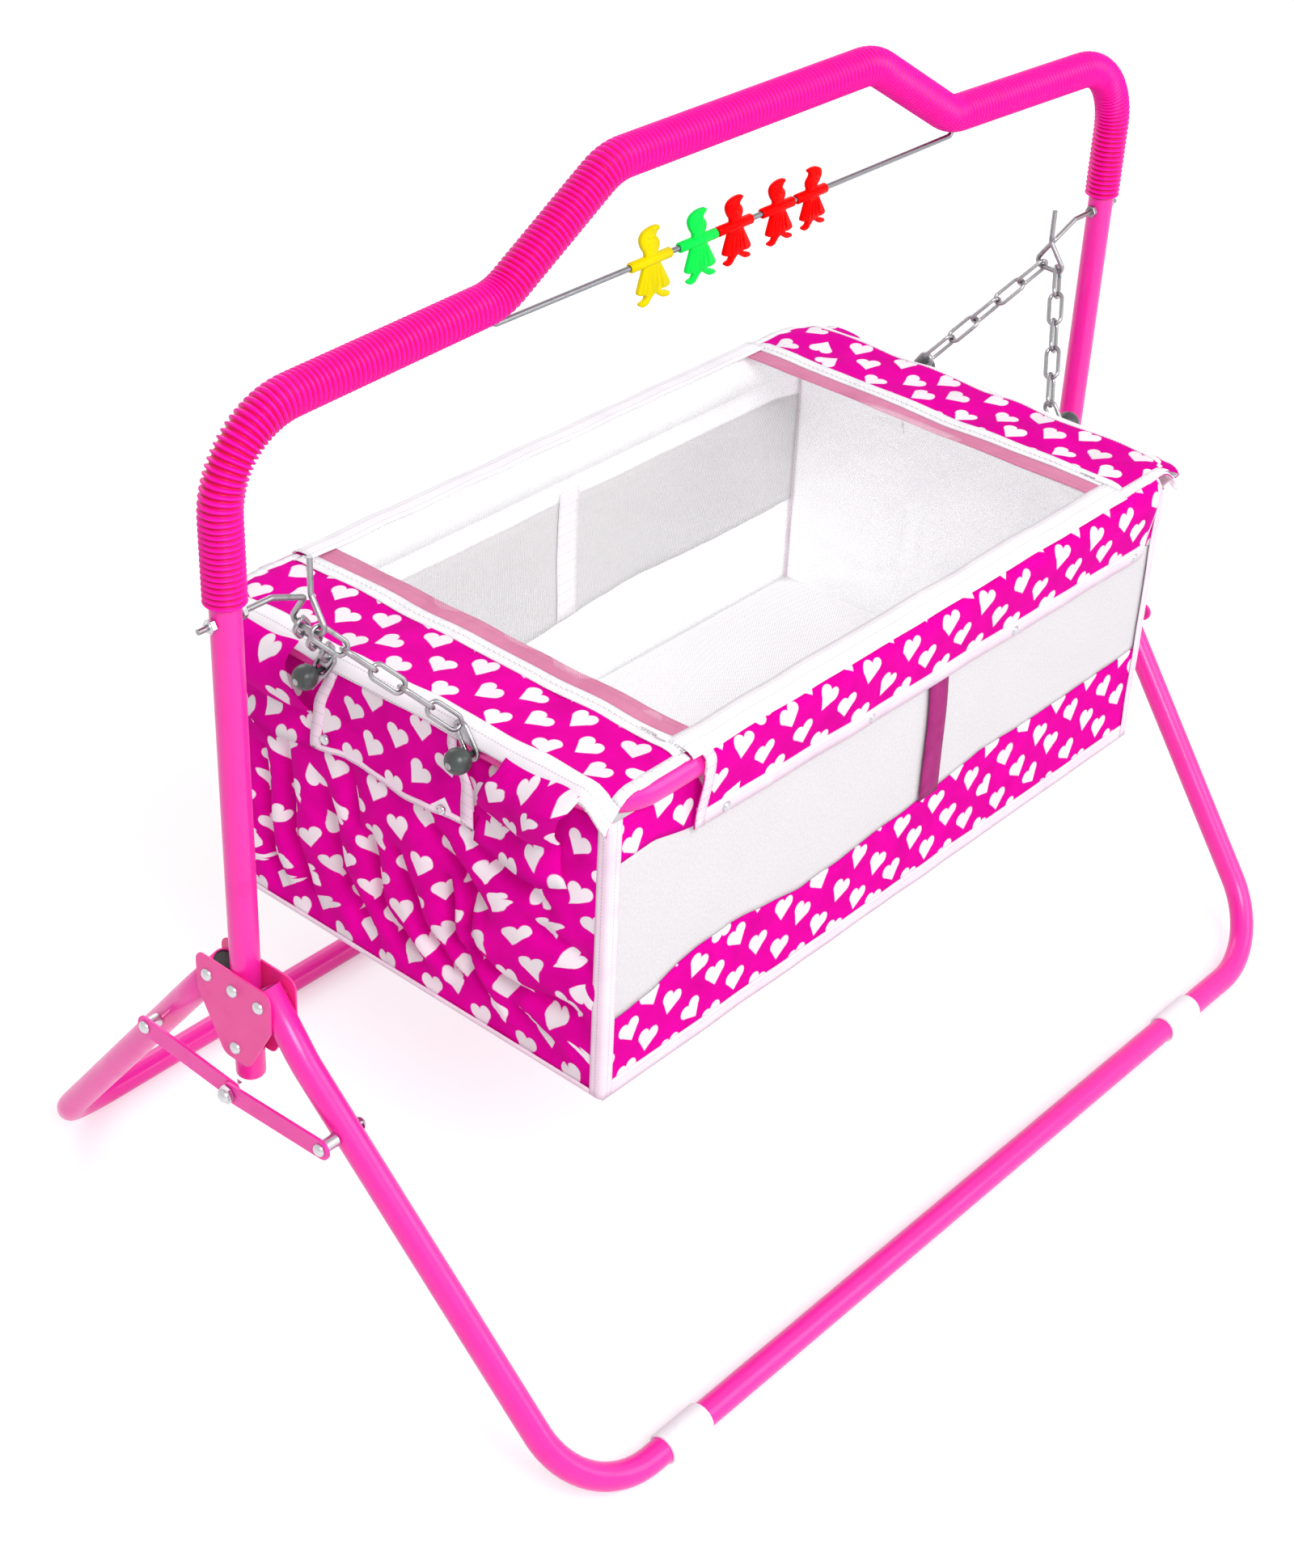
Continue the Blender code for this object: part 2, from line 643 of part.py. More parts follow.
def bracket_outline():
    top = BRACKET_ABOVE_PIVOT
    return [
        (-BRACKET_HALF_WIDTH, top),
        (-BRACKET_HALF_WIDTH, -BRACKET_SHOULDER_DROP),
        (-BRACKET_FOOT_HALF_WIDTH, -BRACKET_BELOW_PIVOT),
        (BRACKET_FOOT_HALF_WIDTH, -BRACKET_BELOW_PIVOT),
        (BRACKET_HALF_WIDTH, -BRACKET_SHOULDER_DROP),
        (BRACKET_HALF_WIDTH, top),
    ]


def bracket_rivet_places():
    return (
        ("front_pivot", -PIVOT_OFFSET, 0),
        ("back_pivot", PIVOT_OFFSET, 0),
        ("upright_top", 0, 0),
        ("upright_low", 0, -BRACKET_LOWER_RIVET_DROP),
    )


def brackets():
    hole = (RIVET_DIAMETER / 2 + CLEARANCE) * HOLE_SHARE
    loops = [soft_outline(bracket_outline(), BRACKET_CORNER_RADIUS)]
    loops += [circle(y, z, hole) for name, y, z in bracket_rivet_places()]
    offset = TUBE_RADIUS + CLEARANCE + BRACKET_THICKNESS / 2
    for side, sign in SIDES:
        for face, out in (("outer", sign), ("inner", -sign)):
            x = sign * FRAME_HALF_SPAN + out * offset
            place = Matrix.Translation((x, 0, PIVOT_HEIGHT)) @ along_x()
            plate(f"bracket_{face}_{side}", loops, BRACKET_THICKNESS, place, PINK_PAINT)


def rivet_profile(half_grip):
    # A rivet closed on both sides, from the top of one dome to the top of the other.
    shank = RIVET_DIAMETER / 2
    dome = domed(RIVET_HEAD_DIAMETER / 2, RIVET_HEAD_HEIGHT)
    upper = [(r, half_grip + z) for r, z in dome]
    lower = [(r, -half_grip - z) for r, z in reversed(dome)]
    return upper + [(shank, half_grip), (shank, -half_grip)] + lower


def bracket_rivets():
    half_grip = TUBE_RADIUS + 2 * CLEARANCE + BRACKET_THICKNESS
    for side, sign in SIDES:
        for name, y, z in bracket_rivet_places():
            place = Matrix.Translation((sign * FRAME_HALF_SPAN, y, PIVOT_HEIGHT + z)) @ along_x()
            turned(f"rivet_{name}_{side}", rivet_profile(half_grip), STEEL, place)


# Distances out from the upright's axis to the planes of the brace bars
NUT_PLANE = TUBE_RADIUS + 2 * CLEARANCE
BACK_BAR_PLANE = NUT_PLANE + CENTRE_NUT_HEIGHT + CLEARANCE
FRONT_BAR_PLANE = BACK_BAR_PLANE + BRACE_THICKNESS + CLEARANCE
HEAD_PLANE = FRONT_BAR_PLANE + BRACE_THICKNESS + CLEARANCE


def brace_ends(facing):
    seat = leg_point(facing, brace_drop(facing))
    return Vector((seat.y, seat.z)), Vector((0, BRACE_CENTRE_HEIGHT))


def brace(facing, name, inner_plane):
    # A flat bar with round ends and an eye in each.
    outer_end, centre = brace_ends(facing)
    length = (centre - outer_end).length
    angle = math.atan2(centre.y - outer_end.y, centre.x - outer_end.x)
    radius = BRACE_WIDTH / 2
    outline = []
    for step in range(ROUND_STEPS + 1):
        turn = math.pi / 2 + math.pi * step / ROUND_STEPS
        outline.append((radius * math.cos(turn), radius * math.sin(turn)))
    outline += [(length - u, -v) for u, v in outline]
    stud_hole = (RIVET_DIAMETER / 2 + CLEARANCE) * HOLE_SHARE
    bolt_hole = (CENTRE_BOLT_DIAMETER / 2 + CLEARANCE) * HOLE_SHARE
    loops = [outline, circle(0, 0, stud_hole), circle(length, 0, bolt_hole)]
    for side, sign in SIDES:
        x = sign * (FRAME_HALF_SPAN + inner_plane + BRACE_THICKNESS / 2)
        place = Matrix.Translation((x, outer_end.x, outer_end.y)) @ Matrix.Rotation(angle, 4, "X") @ along_x()
        plate(f"{name}_{side}", loops, BRACE_THICKNESS, place, PINK_PAINT)


def brace_stud(facing, name, inner_plane):
    # A rivet through the leg, a spacer and the end of the bar.
    seat = leg_point(facing, brace_drop(facing))
    shank, head, spacer = RIVET_DIAMETER / 2, RIVET_HEAD_DIAMETER / 2, SPACER_DIAMETER / 2
    dome = domed(head, RIVET_HEAD_HEIGHT)
    # The leg leans in X here, so its wall stands a little wider than its radius.
    lean = math.atan((FRAME_HALF_SPAN - FLOOR_HALF_SPAN) / (PIVOT_HEIGHT - TUBE_RADIUS))
    wall = TUBE_RADIUS / math.cos(lean) + CLEARANCE
    leg_side = wall + spacer * math.tan(lean)
    bar_low = FRAME_HALF_SPAN + inner_plane - seat.x - CLEARANCE
    bar_high = bar_low + BRACE_THICKNESS + 2 * CLEARANCE
    profile = [(r, bar_high + z) for r, z in dome]
    profile += [(shank, bar_high), (shank, bar_low), (spacer, bar_low), (spacer, leg_side), (shank, leg_side)]
    profile += [(shank, -leg_side)]
    profile += [(r, -leg_side - z) for r, z in reversed(dome)]
    for side, sign in SIDES:
        flip = Matrix.Rotation(0 if sign > 0 else math.pi, 4, "Z")
        place = Matrix.Translation((sign * seat.x, seat.y, seat.z)) @ flip @ along_x()
        turned(f"{name}_{side}", profile, STEEL, place)


def hexagon(name, across, low, high, place):
    bm = bmesh.new()
    radius = across / 2 * HEX_SHARE
    lift = Matrix.Translation((0, 0, (low + high) / 2))
    bmesh.ops.create_cone(
        bm, cap_ends=True, segments=HEX_SIDES, radius1=radius, radius2=radius, depth=high - low,
        matrix=place @ lift
    )
    return add_object(name, mesh_of(name, bm), None)


def centre_bolts():
    # The centre pivot is made in two pieces that meet between the bars: the head with the front bars and the
    # nut with the back bars.
    shank = CENTRE_BOLT_DIAMETER / 2
    meeting = FRONT_BAR_PLANE - CLEARANCE / 2
    for side, sign in SIDES:
        flip = Matrix.Rotation(0 if sign > 0 else math.pi, 4, "Z")
        place = Matrix.Translation((sign * FRAME_HALF_SPAN, 0, BRACE_CENTRE_HEIGHT)) @ flip @ along_x()
        top = HEAD_PLANE + CENTRE_HEAD_HEIGHT
        dome = domed(CENTRE_DOME_DIAMETER / 2, CENTRE_DOME_HEIGHT)
        profile = [(r, top + z) for r, z in dome]
        profile += [(CENTRE_DOME_DIAMETER / 2, top - CLEARANCE), (shank, top - CLEARANCE)]
        profile += [(shank, meeting + CLEARANCE / 2), (0, meeting + CLEARANCE / 2)]
        core = bake(turned(f"centre_core_{side}", profile, STEEL, place))
        head = hexagon(f"centre_hex_{side}", CENTRE_NUT_ACROSS, HEAD_PLANE, top, place)
        smooth(fuse(f"centre_bolt_head_{side}", [head, core], STEEL))
        low = NUT_PLANE
        profile = [(0, meeting - CLEARANCE / 2), (shank, meeting - CLEARANCE / 2)]
        profile += [(shank, low + CENTRE_NUT_HEIGHT / 2), (0, low + CENTRE_NUT_HEIGHT / 2)]
        core = bake(turned(f"centre_end_{side}", profile, STEEL, place))
        nut = hexagon(f"centre_nut_hex_{side}", CENTRE_NUT_ACROSS, low, low + CENTRE_NUT_HEIGHT, place)
        smooth(fuse(f"centre_bolt_nut_{side}", [nut, core], STEEL))


def hook_points(sign):
    # Shank through the upright, down to a three-cornered eye across the cradle, and a tail that stands up.
    pass_gap = HOOK_DIAMETER + HOOK_PASS_GAP
    eye = FRAME_HALF_SPAN - HOOK_EYE_FROM_UPRIGHT
    apex, base = HOOK_HEIGHT - HOOK_APEX_DROP, HOOK_HEIGHT - HOOK_BASE_DROP
    points = [
        (FRAME_HALF_SPAN + TUBE_RADIUS + HOOK_NUT_HEIGHT + HOOK_BEYOND_UPRIGHT, 0, HOOK_HEIGHT),
        (FRAME_HALF_SPAN - HOOK_BEND_FROM_UPRIGHT, 0, HOOK_HEIGHT),
        (eye, 0, apex),
        (eye - pass_gap * HOOK_PASS_SHARES[0], HOOK_BASE_HALF_WIDTH, base),
        (eye - pass_gap * HOOK_PASS_SHARES[1], -HOOK_BASE_HALF_WIDTH, base),
        (eye - pass_gap, 0, apex),
        (eye - pass_gap, 0, HOOK_HEIGHT + HOOK_TAIL_RISE),
    ]
    return [(sign * x, y, z) for x, y, z in points]


def hook_seat(sign, y_sign):
    # Where the top link of a chain bears on the base of the eye.
    points = hook_points(sign)
    back, front = Vector(points[3]), Vector(points[4])
    share = (HOOK_BASE_HALF_WIDTH - y_sign * HOOK_SEAT_HALF_SPACING) / (2 * HOOK_BASE_HALF_WIDTH)
    return back.lerp(front, share)


def hooks():
    radii = [0] + [HOOK_BEND_RADIUS] * 5 + [0]
    nut_inner = TUBE_RADIUS + 2 * CLEARANCE
    for side, sign in SIDES:
        path = rounded_path(hook_points(sign), radii, TIGHT_BEND_STEPS)
        rod = tube(f"hook_rod_{side}", path, HOOK_DIAMETER / 2, STEEL, WIRE_RESOLUTION)
        flip = Matrix.Rotation(0 if sign > 0 else math.pi, 4, "Z")
        place = Matrix.Translation((sign * FRAME_HALF_SPAN, 0, HOOK_HEIGHT)) @ flip @ along_x()
        collar = hexagon(f"hook_collar_{side}", HOOK_NUT_ACROSS, -nut_inner - HOOK_NUT_HEIGHT, -nut_inner, place)
        smooth(fuse(f"hook_{side}", [rod, collar], STEEL))
        nut = hexagon(f"hook_nut_{side}", HOOK_NUT_ACROSS, nut_inner, nut_inner + HOOK_NUT_HEIGHT, place)
        nut.data.materials.append(STEEL)
        reach = TUBE_RADIUS + HOOK_NUT_HEIGHT + OVERRUN
        x = sign * FRAME_HALF_SPAN
        radius = (HOOK_DIAMETER / 2 + CLEARANCE) * HOLE_SHARE
        cut(nut, rod_x(f"hook_nut_hole_{side}", x - reach, x + reach, 0, HOOK_HEIGHT, radius))


def chain_bolt_place(sign, y_sign):
    x = sign * (RIM_HALF_LENGTH + TUBE_DIAMETER / 2 + BALL_STANDOFF / 2)
    return Vector((x, y_sign * CHAIN_BOLT_HALF_SPACING, RIM_HEIGHT))


def chain_bolts():
    shank = CHAIN_BOLT_DIAMETER / 2
    ball = BALL_DIAMETER / 2
    outer = TUBE_RADIUS + BALL_STANDOFF
    inner = -TUBE_RADIUS - CLEARANCE
    hidden = math.asin(shank / ball)
    centre = outer + ball * math.cos(hidden)
    angles = [(math.pi - hidden) * step / BALL_STEPS for step in range(BALL_STEPS + 1)]
    profile = [(ball * math.sin(a), centre + ball * math.cos(a)) for a in angles]
    profile += [(shank, inner), (BOLT_END_DIAMETER / 2, inner), (BOLT_END_DIAMETER / 2, inner - BOLT_END_HEIGHT)]
    profile += [(0, inner - BOLT_END_HEIGHT)]
    for side, sign in SIDES:
        for face, y_sign in (("front", FRONT), ("back", BACK)):
            flip = Matrix.Rotation(0 if sign > 0 else math.pi, 4, "Z")
            x = sign * RIM_HALF_LENGTH
            place = Matrix.Translation((x, y_sign * CHAIN_BOLT_HALF_SPACING, RIM_HEIGHT)) @ flip @ along_x()
            turned(f"chain_bolt_{face}_{side}", profile, DARK_KNOB, place)


def link_loop(name, centre, along, across, inner_length):
    half_width = (LINK_WIDTH - LINK_WIRE) / 2
    half_run = (inner_length + LINK_WIRE) / 2 - half_width * LINK_CROWN_SHARE
    path = []
    for end in (1, -1):
        for step in range(LINK_END_POINTS):
            turn = math.pi * step / (LINK_END_POINTS - 1)
            u = end * (half_run + half_width * math.sin(turn))
            v = end * half_width * math.cos(turn)
            path.append(centre + along * u + across * v)
    return tube(name, path, LINK_WIRE / 2, STEEL, LINK_RESOLUTION, closed=True)


def seat_depth(rod_radius, rod_axis, normal):
    # From the centre of a rod to the end of the link it carries, where the rod crosses the link at a slant.
    slant = abs(rod_axis.dot(normal))
    return (rod_radius + LINK_WIRE / 2) / slant - LINK_WIRE / 2 + CLEARANCE + LINK_BITE / 2


def chain(side, sign, face, y_sign):
    # Links 1 to n-1 lie on one straight line and the last hangs flat against the end of the rim.
    top, bottom = hook_seat(sign, y_sign), chain_bolt_place(sign, y_sign)
    rise = Vector((0, top.y - bottom.y, top.z - bottom.z)).normalized()
    x_axis, y_axis = Vector((1, 0, 0)), Vector((0, 1, 0))
    bolt_seat = seat_depth(CHAIN_BOLT_DIAMETER / 2, x_axis, x_axis)
    inner_length = (top - bottom).length / LINK_COUNT
    for _ in range(CHAIN_FIT_ROUNDS):
        last = bottom + rise * (inner_length / 2 - bolt_seat)
        joint = last + rise * (inner_length - LINK_WIRE) / 2
        down = (joint - top).normalized()
        across = down.cross(y_axis).normalized()
        hook_depth = seat_depth(HOOK_DIAMETER / 2, y_axis, across.cross(down))
        span = (joint - top).length + hook_depth - LINK_WIRE / 2
        inner_length = span / (LINK_COUNT - 1)
    first = top + down * (inner_length / 2 - hook_depth)
    loops = []
    for index in range(LINK_COUNT - 1):
        wide = across if index % 2 == 0 else down.cross(across)
        centre = first + down * (inner_length * index)
        loops.append(link_loop(f"link_{side}_{face}_{index}", centre, down, wide, inner_length - LINK_BITE))
    wide = x_axis.cross(rise)
    loops.append(link_loop(f"link_{side}_{face}_last", last, rise, wide, inner_length - LINK_BITE))
    return smooth(fuse(f"chain_{face}_{side}", loops, STEEL))


def rim_ring():
    corners = [
        (-RIM_HALF_LENGTH, -RIM_HALF_WIDTH, RIM_HEIGHT),
        (RIM_HALF_LENGTH, -RIM_HALF_WIDTH, RIM_HEIGHT),
        (RIM_HALF_LENGTH, RIM_HALF_WIDTH, RIM_HEIGHT),
        (-RIM_HALF_LENGTH, RIM_HALF_WIDTH, RIM_HEIGHT),
    ]
    path = rounded_path(corners, [RIM_CORNER_RADIUS] * len(corners), closed=True)
    ring = tube("rim_ring", path, TUBE_RADIUS, PINK_PAINT, closed=True)
    reach = TUBE_RADIUS + OVERRUN
    radius = (CHAIN_BOLT_DIAMETER / 2 + CLEARANCE) * HOLE_SHARE
    for side, sign in SIDES:
        for face, y_sign in (("front", FRONT), ("back", BACK)):
            x = sign * RIM_HALF_LENGTH
            y = y_sign * CHAIN_BOLT_HALF_SPACING
            cut(ring, rod_x(f"rim_hole_{face}_{side}", x - reach, x + reach, y, RIM_HEIGHT, radius))


LOOP_BORE = (TUBE_RADIUS + CLEARANCE) * LOOP_SHARE
LOOP_RADIUS = LOOP_BORE + CLOTH
PANEL_TOP = RIM_HEIGHT - TUBE_RADIUS - CLEARANCE


def pocket(name, low, high, cross, along):
    # A cloth pocket round the rim tube, from low to high along the tube's own direction.
    outline = circle(0, 0, LOOP_RADIUS, LOOP_STEPS)
    loops = [outline, circle(0, 0, LOOP_BORE, LOOP_STEPS)]
    middle = (low + high) / 2
    if along == "x":
        place = Matrix.Translation((middle, cross, RIM_HEIGHT)) @ along_x()
    else:
        place = Matrix.Translation((cross, middle, RIM_HEIGHT)) @ Matrix.Rotation(math.pi / 2, 4, "X")
    return plate(name, loops, high - low, place, None)


def side_panel(face, y_sign):
    y = y_sign * RIM_HALF_WIDTH
    half_length = RIM_HALF_LENGTH + PANEL / 2
    body = box(
        f"side_cloth_{face}",
        (-half_length, y - PANEL / 2, BAG_BOTTOM),
        (half_length, y + PANEL / 2, PANEL_TOP - CLEARANCE),
    )
    loop = pocket(f"side_pocket_{face}", -SIDE_LOOP_HALF_LENGTH, SIDE_LOOP_HALF_LENGTH, y, "x")
    panel = fuse(f"bag_side_{face}", [body, loop], CLOTH_PINK)
    for skin, out in (("in", -y_sign), ("out", y_sign)):
        deep = y + out * (PANEL / 2 - WINDOW_RECESS)
        shallow = y + out * (PANEL / 2 + OVERRUN)
        window = box(
            f"window_{face}_{skin}",
            (-WINDOW_HALF_LENGTH, min(deep, shallow), WINDOW_BOTTOM),
            (WINDOW_HALF_LENGTH, max(deep, shallow), WINDOW_TOP),
            cutters,
        )
        cut(panel, hide_as_cutter(window))
    return panel


def end_panel(side, sign):
    # The end cloth hangs from two corner pockets and a buttoned flap that wraps over the middle of the tube.
    x = sign * RIM_HALF_LENGTH
    half_width = RIM_HALF_WIDTH - PANEL / 2 - CLEARANCE
    body = box(
        f"end_cloth_{side}",
        (x - PANEL / 2, -half_width, BAG_BOTTOM),
        (x + PANEL / 2, half_width, PANEL_TOP - CLEARANCE),
    )
    pieces = [body]
    spans = (
        (-END_LOOP_OUTER, -END_LOOP_INNER),
        (-FLAP_LOOP_HALF, FLAP_LOOP_HALF),
        (END_LOOP_INNER, END_LOOP_OUTER),
    )
    for index, (low, high) in enumerate(spans):
        pieces.append(pocket(f"end_pocket_{side}_{index}", low, high, x, "y"))
    drop = RIM_HEIGHT - FLAP_DROP
    loop = [
        (-FLAP_TOP_HALF, RIM_HEIGHT - BALL_DIAMETER / 2 - CLOTH),
        (-FLAP_BOTTOM_HALF, drop),
        (FLAP_BOTTOM_HALF, drop),
        (FLAP_TOP_HALF, RIM_HEIGHT - BALL_DIAMETER / 2 - CLOTH),
        (FLAP_LOOP_HALF, RIM_HEIGHT),
        (-FLAP_LOOP_HALF, RIM_HEIGHT),
    ]
    flap_x = x + sign * (LOOP_RADIUS - CLOTH / 2)
    pieces.append(plate(f"end_flap_{side}", [loop], CLOTH, Matrix.Translation((flap_x, 0, 0)) @ along_x(), None))
    return fuse(f"bag_end_{side}", pieces, CLOTH_PINK)


def floor_pad():
    # A thin mattress: a coarse cage with a crown, rounded by subdivision.
    half_length = RIM_HALF_LENGTH - PANEL / 2 - CLEARANCE
    half_width = RIM_HALF_WIDTH - PANEL / 2 - CLEARANCE
    low, high = BAG_BOTTOM + PANEL + CLEARANCE, BAG_BOTTOM + PANEL + CLEARANCE + PAD_THICKNESS
    bm = bmesh.new()
    layers = []
    for level in (low, high):
        rows = []
        for u in PAD_LONG_SHARES:
            row = []
            for v in PAD_WIDE_SHARES:
                edge = (1 - u * u) * (1 - v * v)
                z = level + (PAD_CROWN * edge if level == high else 0)
                row.append(bm.verts.new((u * half_length, v * half_width, z)))
            rows.append(row)
        layers.append(rows)
    for rows in layers:
        for a, b in zip(rows, rows[1:]):
            for i in range(len(a) - 1):
                bm.faces.new((a[i], a[i + 1], b[i + 1], b[i]))
    bottom, top = layers
    rim_low = bottom[0] + [r[-1] for r in bottom[1:]] + bottom[-1][-2::-1] + [r[0] for r in bottom[-2:0:-1]]
    rim_high = top[0] + [r[-1] for r in top[1:]] + top[-1][-2::-1] + [r[0] for r in top[-2:0:-1]]
    for i in range(len(rim_low)):
        j = (i + 1) % len(rim_low)
        bm.faces.new((rim_low[i], rim_low[j], rim_high[j], rim_high[i]))
    pad = add_object("floor_pad", mesh_of("floor_pad", bm), WHITE_PAD)
    soft = pad.modifiers.new("soft", "SUBSURF")
    soft.levels = 1
    soft.render_levels = 1
    pad.data.shade_smooth()


def bag_floor():
    half_length = RIM_HALF_LENGTH - PANEL / 2 - CLEARANCE
    half_width = RIM_HALF_WIDTH - PANEL / 2 - CLEARANCE
    board = box("bag_floor", (-half_length, -half_width, BAG_BOTTOM), (half_length, half_width, BAG_BOTTOM + PANEL))
    board.data.materials.append(CLOTH_PINK)


STRIP_LOW = RIM_HEIGHT + LOOP_RADIUS + CLEARANCE
NET_LONG_STEPS = 8
NET_LONG_SHARES = [-1, *(step * 2 / NET_LONG_STEPS - 1 for step in range(1, NET_LONG_STEPS)), 1]
NET_WIDE_SHARES = (-1, -0.93, -0.65, -0.33, 0, 0.33, 0.65, 0.93, 1)


def top_strips():
    half_width = RIM_HALF_WIDTH + STRIP_OVERHANG
    outer = RIM_HALF_LENGTH + TUBE_RADIUS - STRIP_OUTER_INSET
    corner = RIM_CORNER_RADIUS / 2
    for side, sign in SIDES:
        inner = STRIP_INNER
        path = rounded_path(
            [(inner, -half_width, 0), (outer, -half_width, 0), (outer, half_width, 0), (inner, half_width, 0)],
            [0, corner, corner, 0],
            TIGHT_BEND_STEPS,
        )
        loop = [(sign * p.x, p.y) for p in path]
        place = Matrix.Translation((0, 0, STRIP_LOW + CLOTH / 2))
        plate(f"top_strip_{side}", [loop], CLOTH, place, CLOTH_PINK)


def net_cover():
    # A slightly crowned sheet that closes the top between the two strips.
    half_length = STRIP_INNER - CLEARANCE
    half_width = RIM_HALF_WIDTH + STRIP_OVERHANG
    bm = bmesh.new()
    rows = []
    for u in NET_LONG_SHARES:
        row = []
        for v in NET_WIDE_SHARES:
            lift = NET_CROWN * (1 - u**2) * max(1 - (v / NET_WIDE_SHARES[-2])**2, 0)
            row.append(bm.verts.new((u * half_length, v * half_width, STRIP_LOW + NET_THICKNESS + lift)))
        rows.append(row)
    for a, b in zip(rows, rows[1:]):
        for i in range(len(a) - 1):
            bm.faces.new((a[i], b[i], b[i + 1], a[i + 1]))
    net = add_object("net_cover", mesh_of("net_cover", bm), WHITE_NET)
    shell = net.modifiers.new("thickness", "SOLIDIFY")
    shell.thickness = NET_THICKNESS
    shell.offset = -1
    net.data.shade_smooth()


def toy_mesh(size, look):
    # A flat moulded doll whose two arms are one tube, threaded on the wire.
    arm = TOY_ARM_DIAMETER / 2
    half_span = TOY_ARM_SPAN * size / 2
    hand = arm * TOY_HAND_SHARE
    profile = [(arm - hand, half_span), (arm, half_span - hand), (arm, hand - half_span), (arm - hand, -half_span)]
    profile = [(0, half_span)] + profile + [(0, -half_span)]
    place = Matrix.Translation((0, 0, WIRE_HEIGHT))
    arms = bake(turned("toy_arms", profile, WHITE_PLASTIC, place @ along_x(), HOLE_STEPS))
    head = TOY_HEAD_SHARES if look > 0 else [(-u, v) for u, v in reversed(TOY_HEAD_SHARES)]
    outline = [(u * TOY_ARM_SPAN * size, v * TOY_HEIGHT * size) for u, v in (*head, *TOY_BODY_SHARES)]
    upright_plane = Matrix.Rotation(math.pi / 2, 4, "X")
    figure = plate("toy_figure", [outline], TOY_THICKNESS, place @ upright_plane, WHITE_PLASTIC)
    doll = fuse("toy_pattern", [figure, arms], WHITE_PLASTIC)
    reach = half_span + OVERRUN
    bore = rod_x("toy_bore", -reach, reach, 0, WIRE_HEIGHT, TOY_BORE_DIAMETER / 2 * HOLE_SHARE)
    return smooth(bake(cut(doll, bore), "toy_pattern"))


def toys():
    colours = (TOY_COLOURS[0], TOY_COLOURS[1], TOY_COLOURS[2], TOY_COLOURS[2], TOY_COLOURS[2])
    axle = Matrix.Translation((0, 0, -WIRE_HEIGHT))
    for index, (x, colour, size, look) in enumerate(zip(TOY_CENTRES, colours, TOY_SIZE_SHARES, TOY_LOOK_SIGNS)):
        pattern = toy_mesh(size, look)
        mesh = pattern.data.copy()
        mesh.transform(axle)
        mesh.materials.clear()
        doll = add_object(f"toy_figure_{index + 1}", mesh, colour)
        doll.location = (x, 0, WIRE_HEIGHT)
        bpy.data.objects.remove(pattern, do_unlink=True)


def build():
    for side, sign in SIDES:
        upright(side, sign)
    arch_tube()
    arch_sleeve()
    toy_wire()
    brackets()
    bracket_rivets()
    leg(FRONT, "front_leg")
    leg(BACK, "back_leg")
    foot_bands()
    brace(FRONT, "front_brace", FRONT_BAR_PLANE)
    brace(BACK, "back_brace", BACK_BAR_PLANE)
    brace_stud(FRONT, "front_brace_stud", FRONT_BAR_PLANE)
    brace_stud(BACK, "back_brace_stud", BACK_BAR_PLANE)
    centre_bolts()
    hooks()
    chain_bolts()
    for side, sign in SIDES:
        for face, y_sign in (("front", FRONT), ("back", BACK)):
            chain(side, sign, face, y_sign)
    rim_ring()
    side_panel("front", FRONT)
    side_panel("back", BACK)
    for side, sign in SIDES:
        end_panel(side, sign)
    bag_floor()
    floor_pad()
    top_strips()
    net_cover()
    toys()
    total = 0
    for obj in parts.objects:
        evaluated = obj.evaluated_get(bpy.context.evaluated_depsgraph_get())
        mesh = evaluated.to_mesh()
        mesh.calc_loop_triangles()
        count = len(mesh.loop_triangles)
        total += count
        print(f"{obj.name}: {count} triangles")
        evaluated.to_mesh_clear()
    print(f"{len(parts.objects)} pieces, {total} triangles")


build()
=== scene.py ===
# Swing cradle on a folding stand. Metres: X along the basket, -Y the front, Z up.
import math
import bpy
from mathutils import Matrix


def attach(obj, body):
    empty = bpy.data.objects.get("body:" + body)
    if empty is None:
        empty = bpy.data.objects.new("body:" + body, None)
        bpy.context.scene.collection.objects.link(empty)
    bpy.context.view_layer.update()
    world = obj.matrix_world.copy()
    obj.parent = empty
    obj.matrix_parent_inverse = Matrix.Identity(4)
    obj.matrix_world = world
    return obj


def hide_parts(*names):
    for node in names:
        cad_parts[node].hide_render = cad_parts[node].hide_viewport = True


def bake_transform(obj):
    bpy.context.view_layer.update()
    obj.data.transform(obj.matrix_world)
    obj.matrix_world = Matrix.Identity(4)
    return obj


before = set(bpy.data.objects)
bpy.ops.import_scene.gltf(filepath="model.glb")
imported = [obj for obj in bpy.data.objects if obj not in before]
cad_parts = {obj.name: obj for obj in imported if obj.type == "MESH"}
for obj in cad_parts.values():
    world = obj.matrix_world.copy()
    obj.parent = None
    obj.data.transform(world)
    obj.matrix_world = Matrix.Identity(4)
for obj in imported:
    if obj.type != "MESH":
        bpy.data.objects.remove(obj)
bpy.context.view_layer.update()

from types import SimpleNamespace

import bmesh
import bpy
from mathutils import Matrix, Vector, bvhtree, noise

sides = (("left", -1), ("right", 1))
faces = (("front", -1), ("back", 1))
corners = [(side, sign, face, front) for side, sign in sides for face, front in faces]
print("frame loaded:", len(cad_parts), "nodes")

# Camera first, at the photograph's angle
shot = {"azimuth": 50.0, "elevation": 34.0, "roll": 2.7, "lens": 74.93, "sensor": 36.0,
        "place": (-1.7132, -1.3620, 1.7968)}


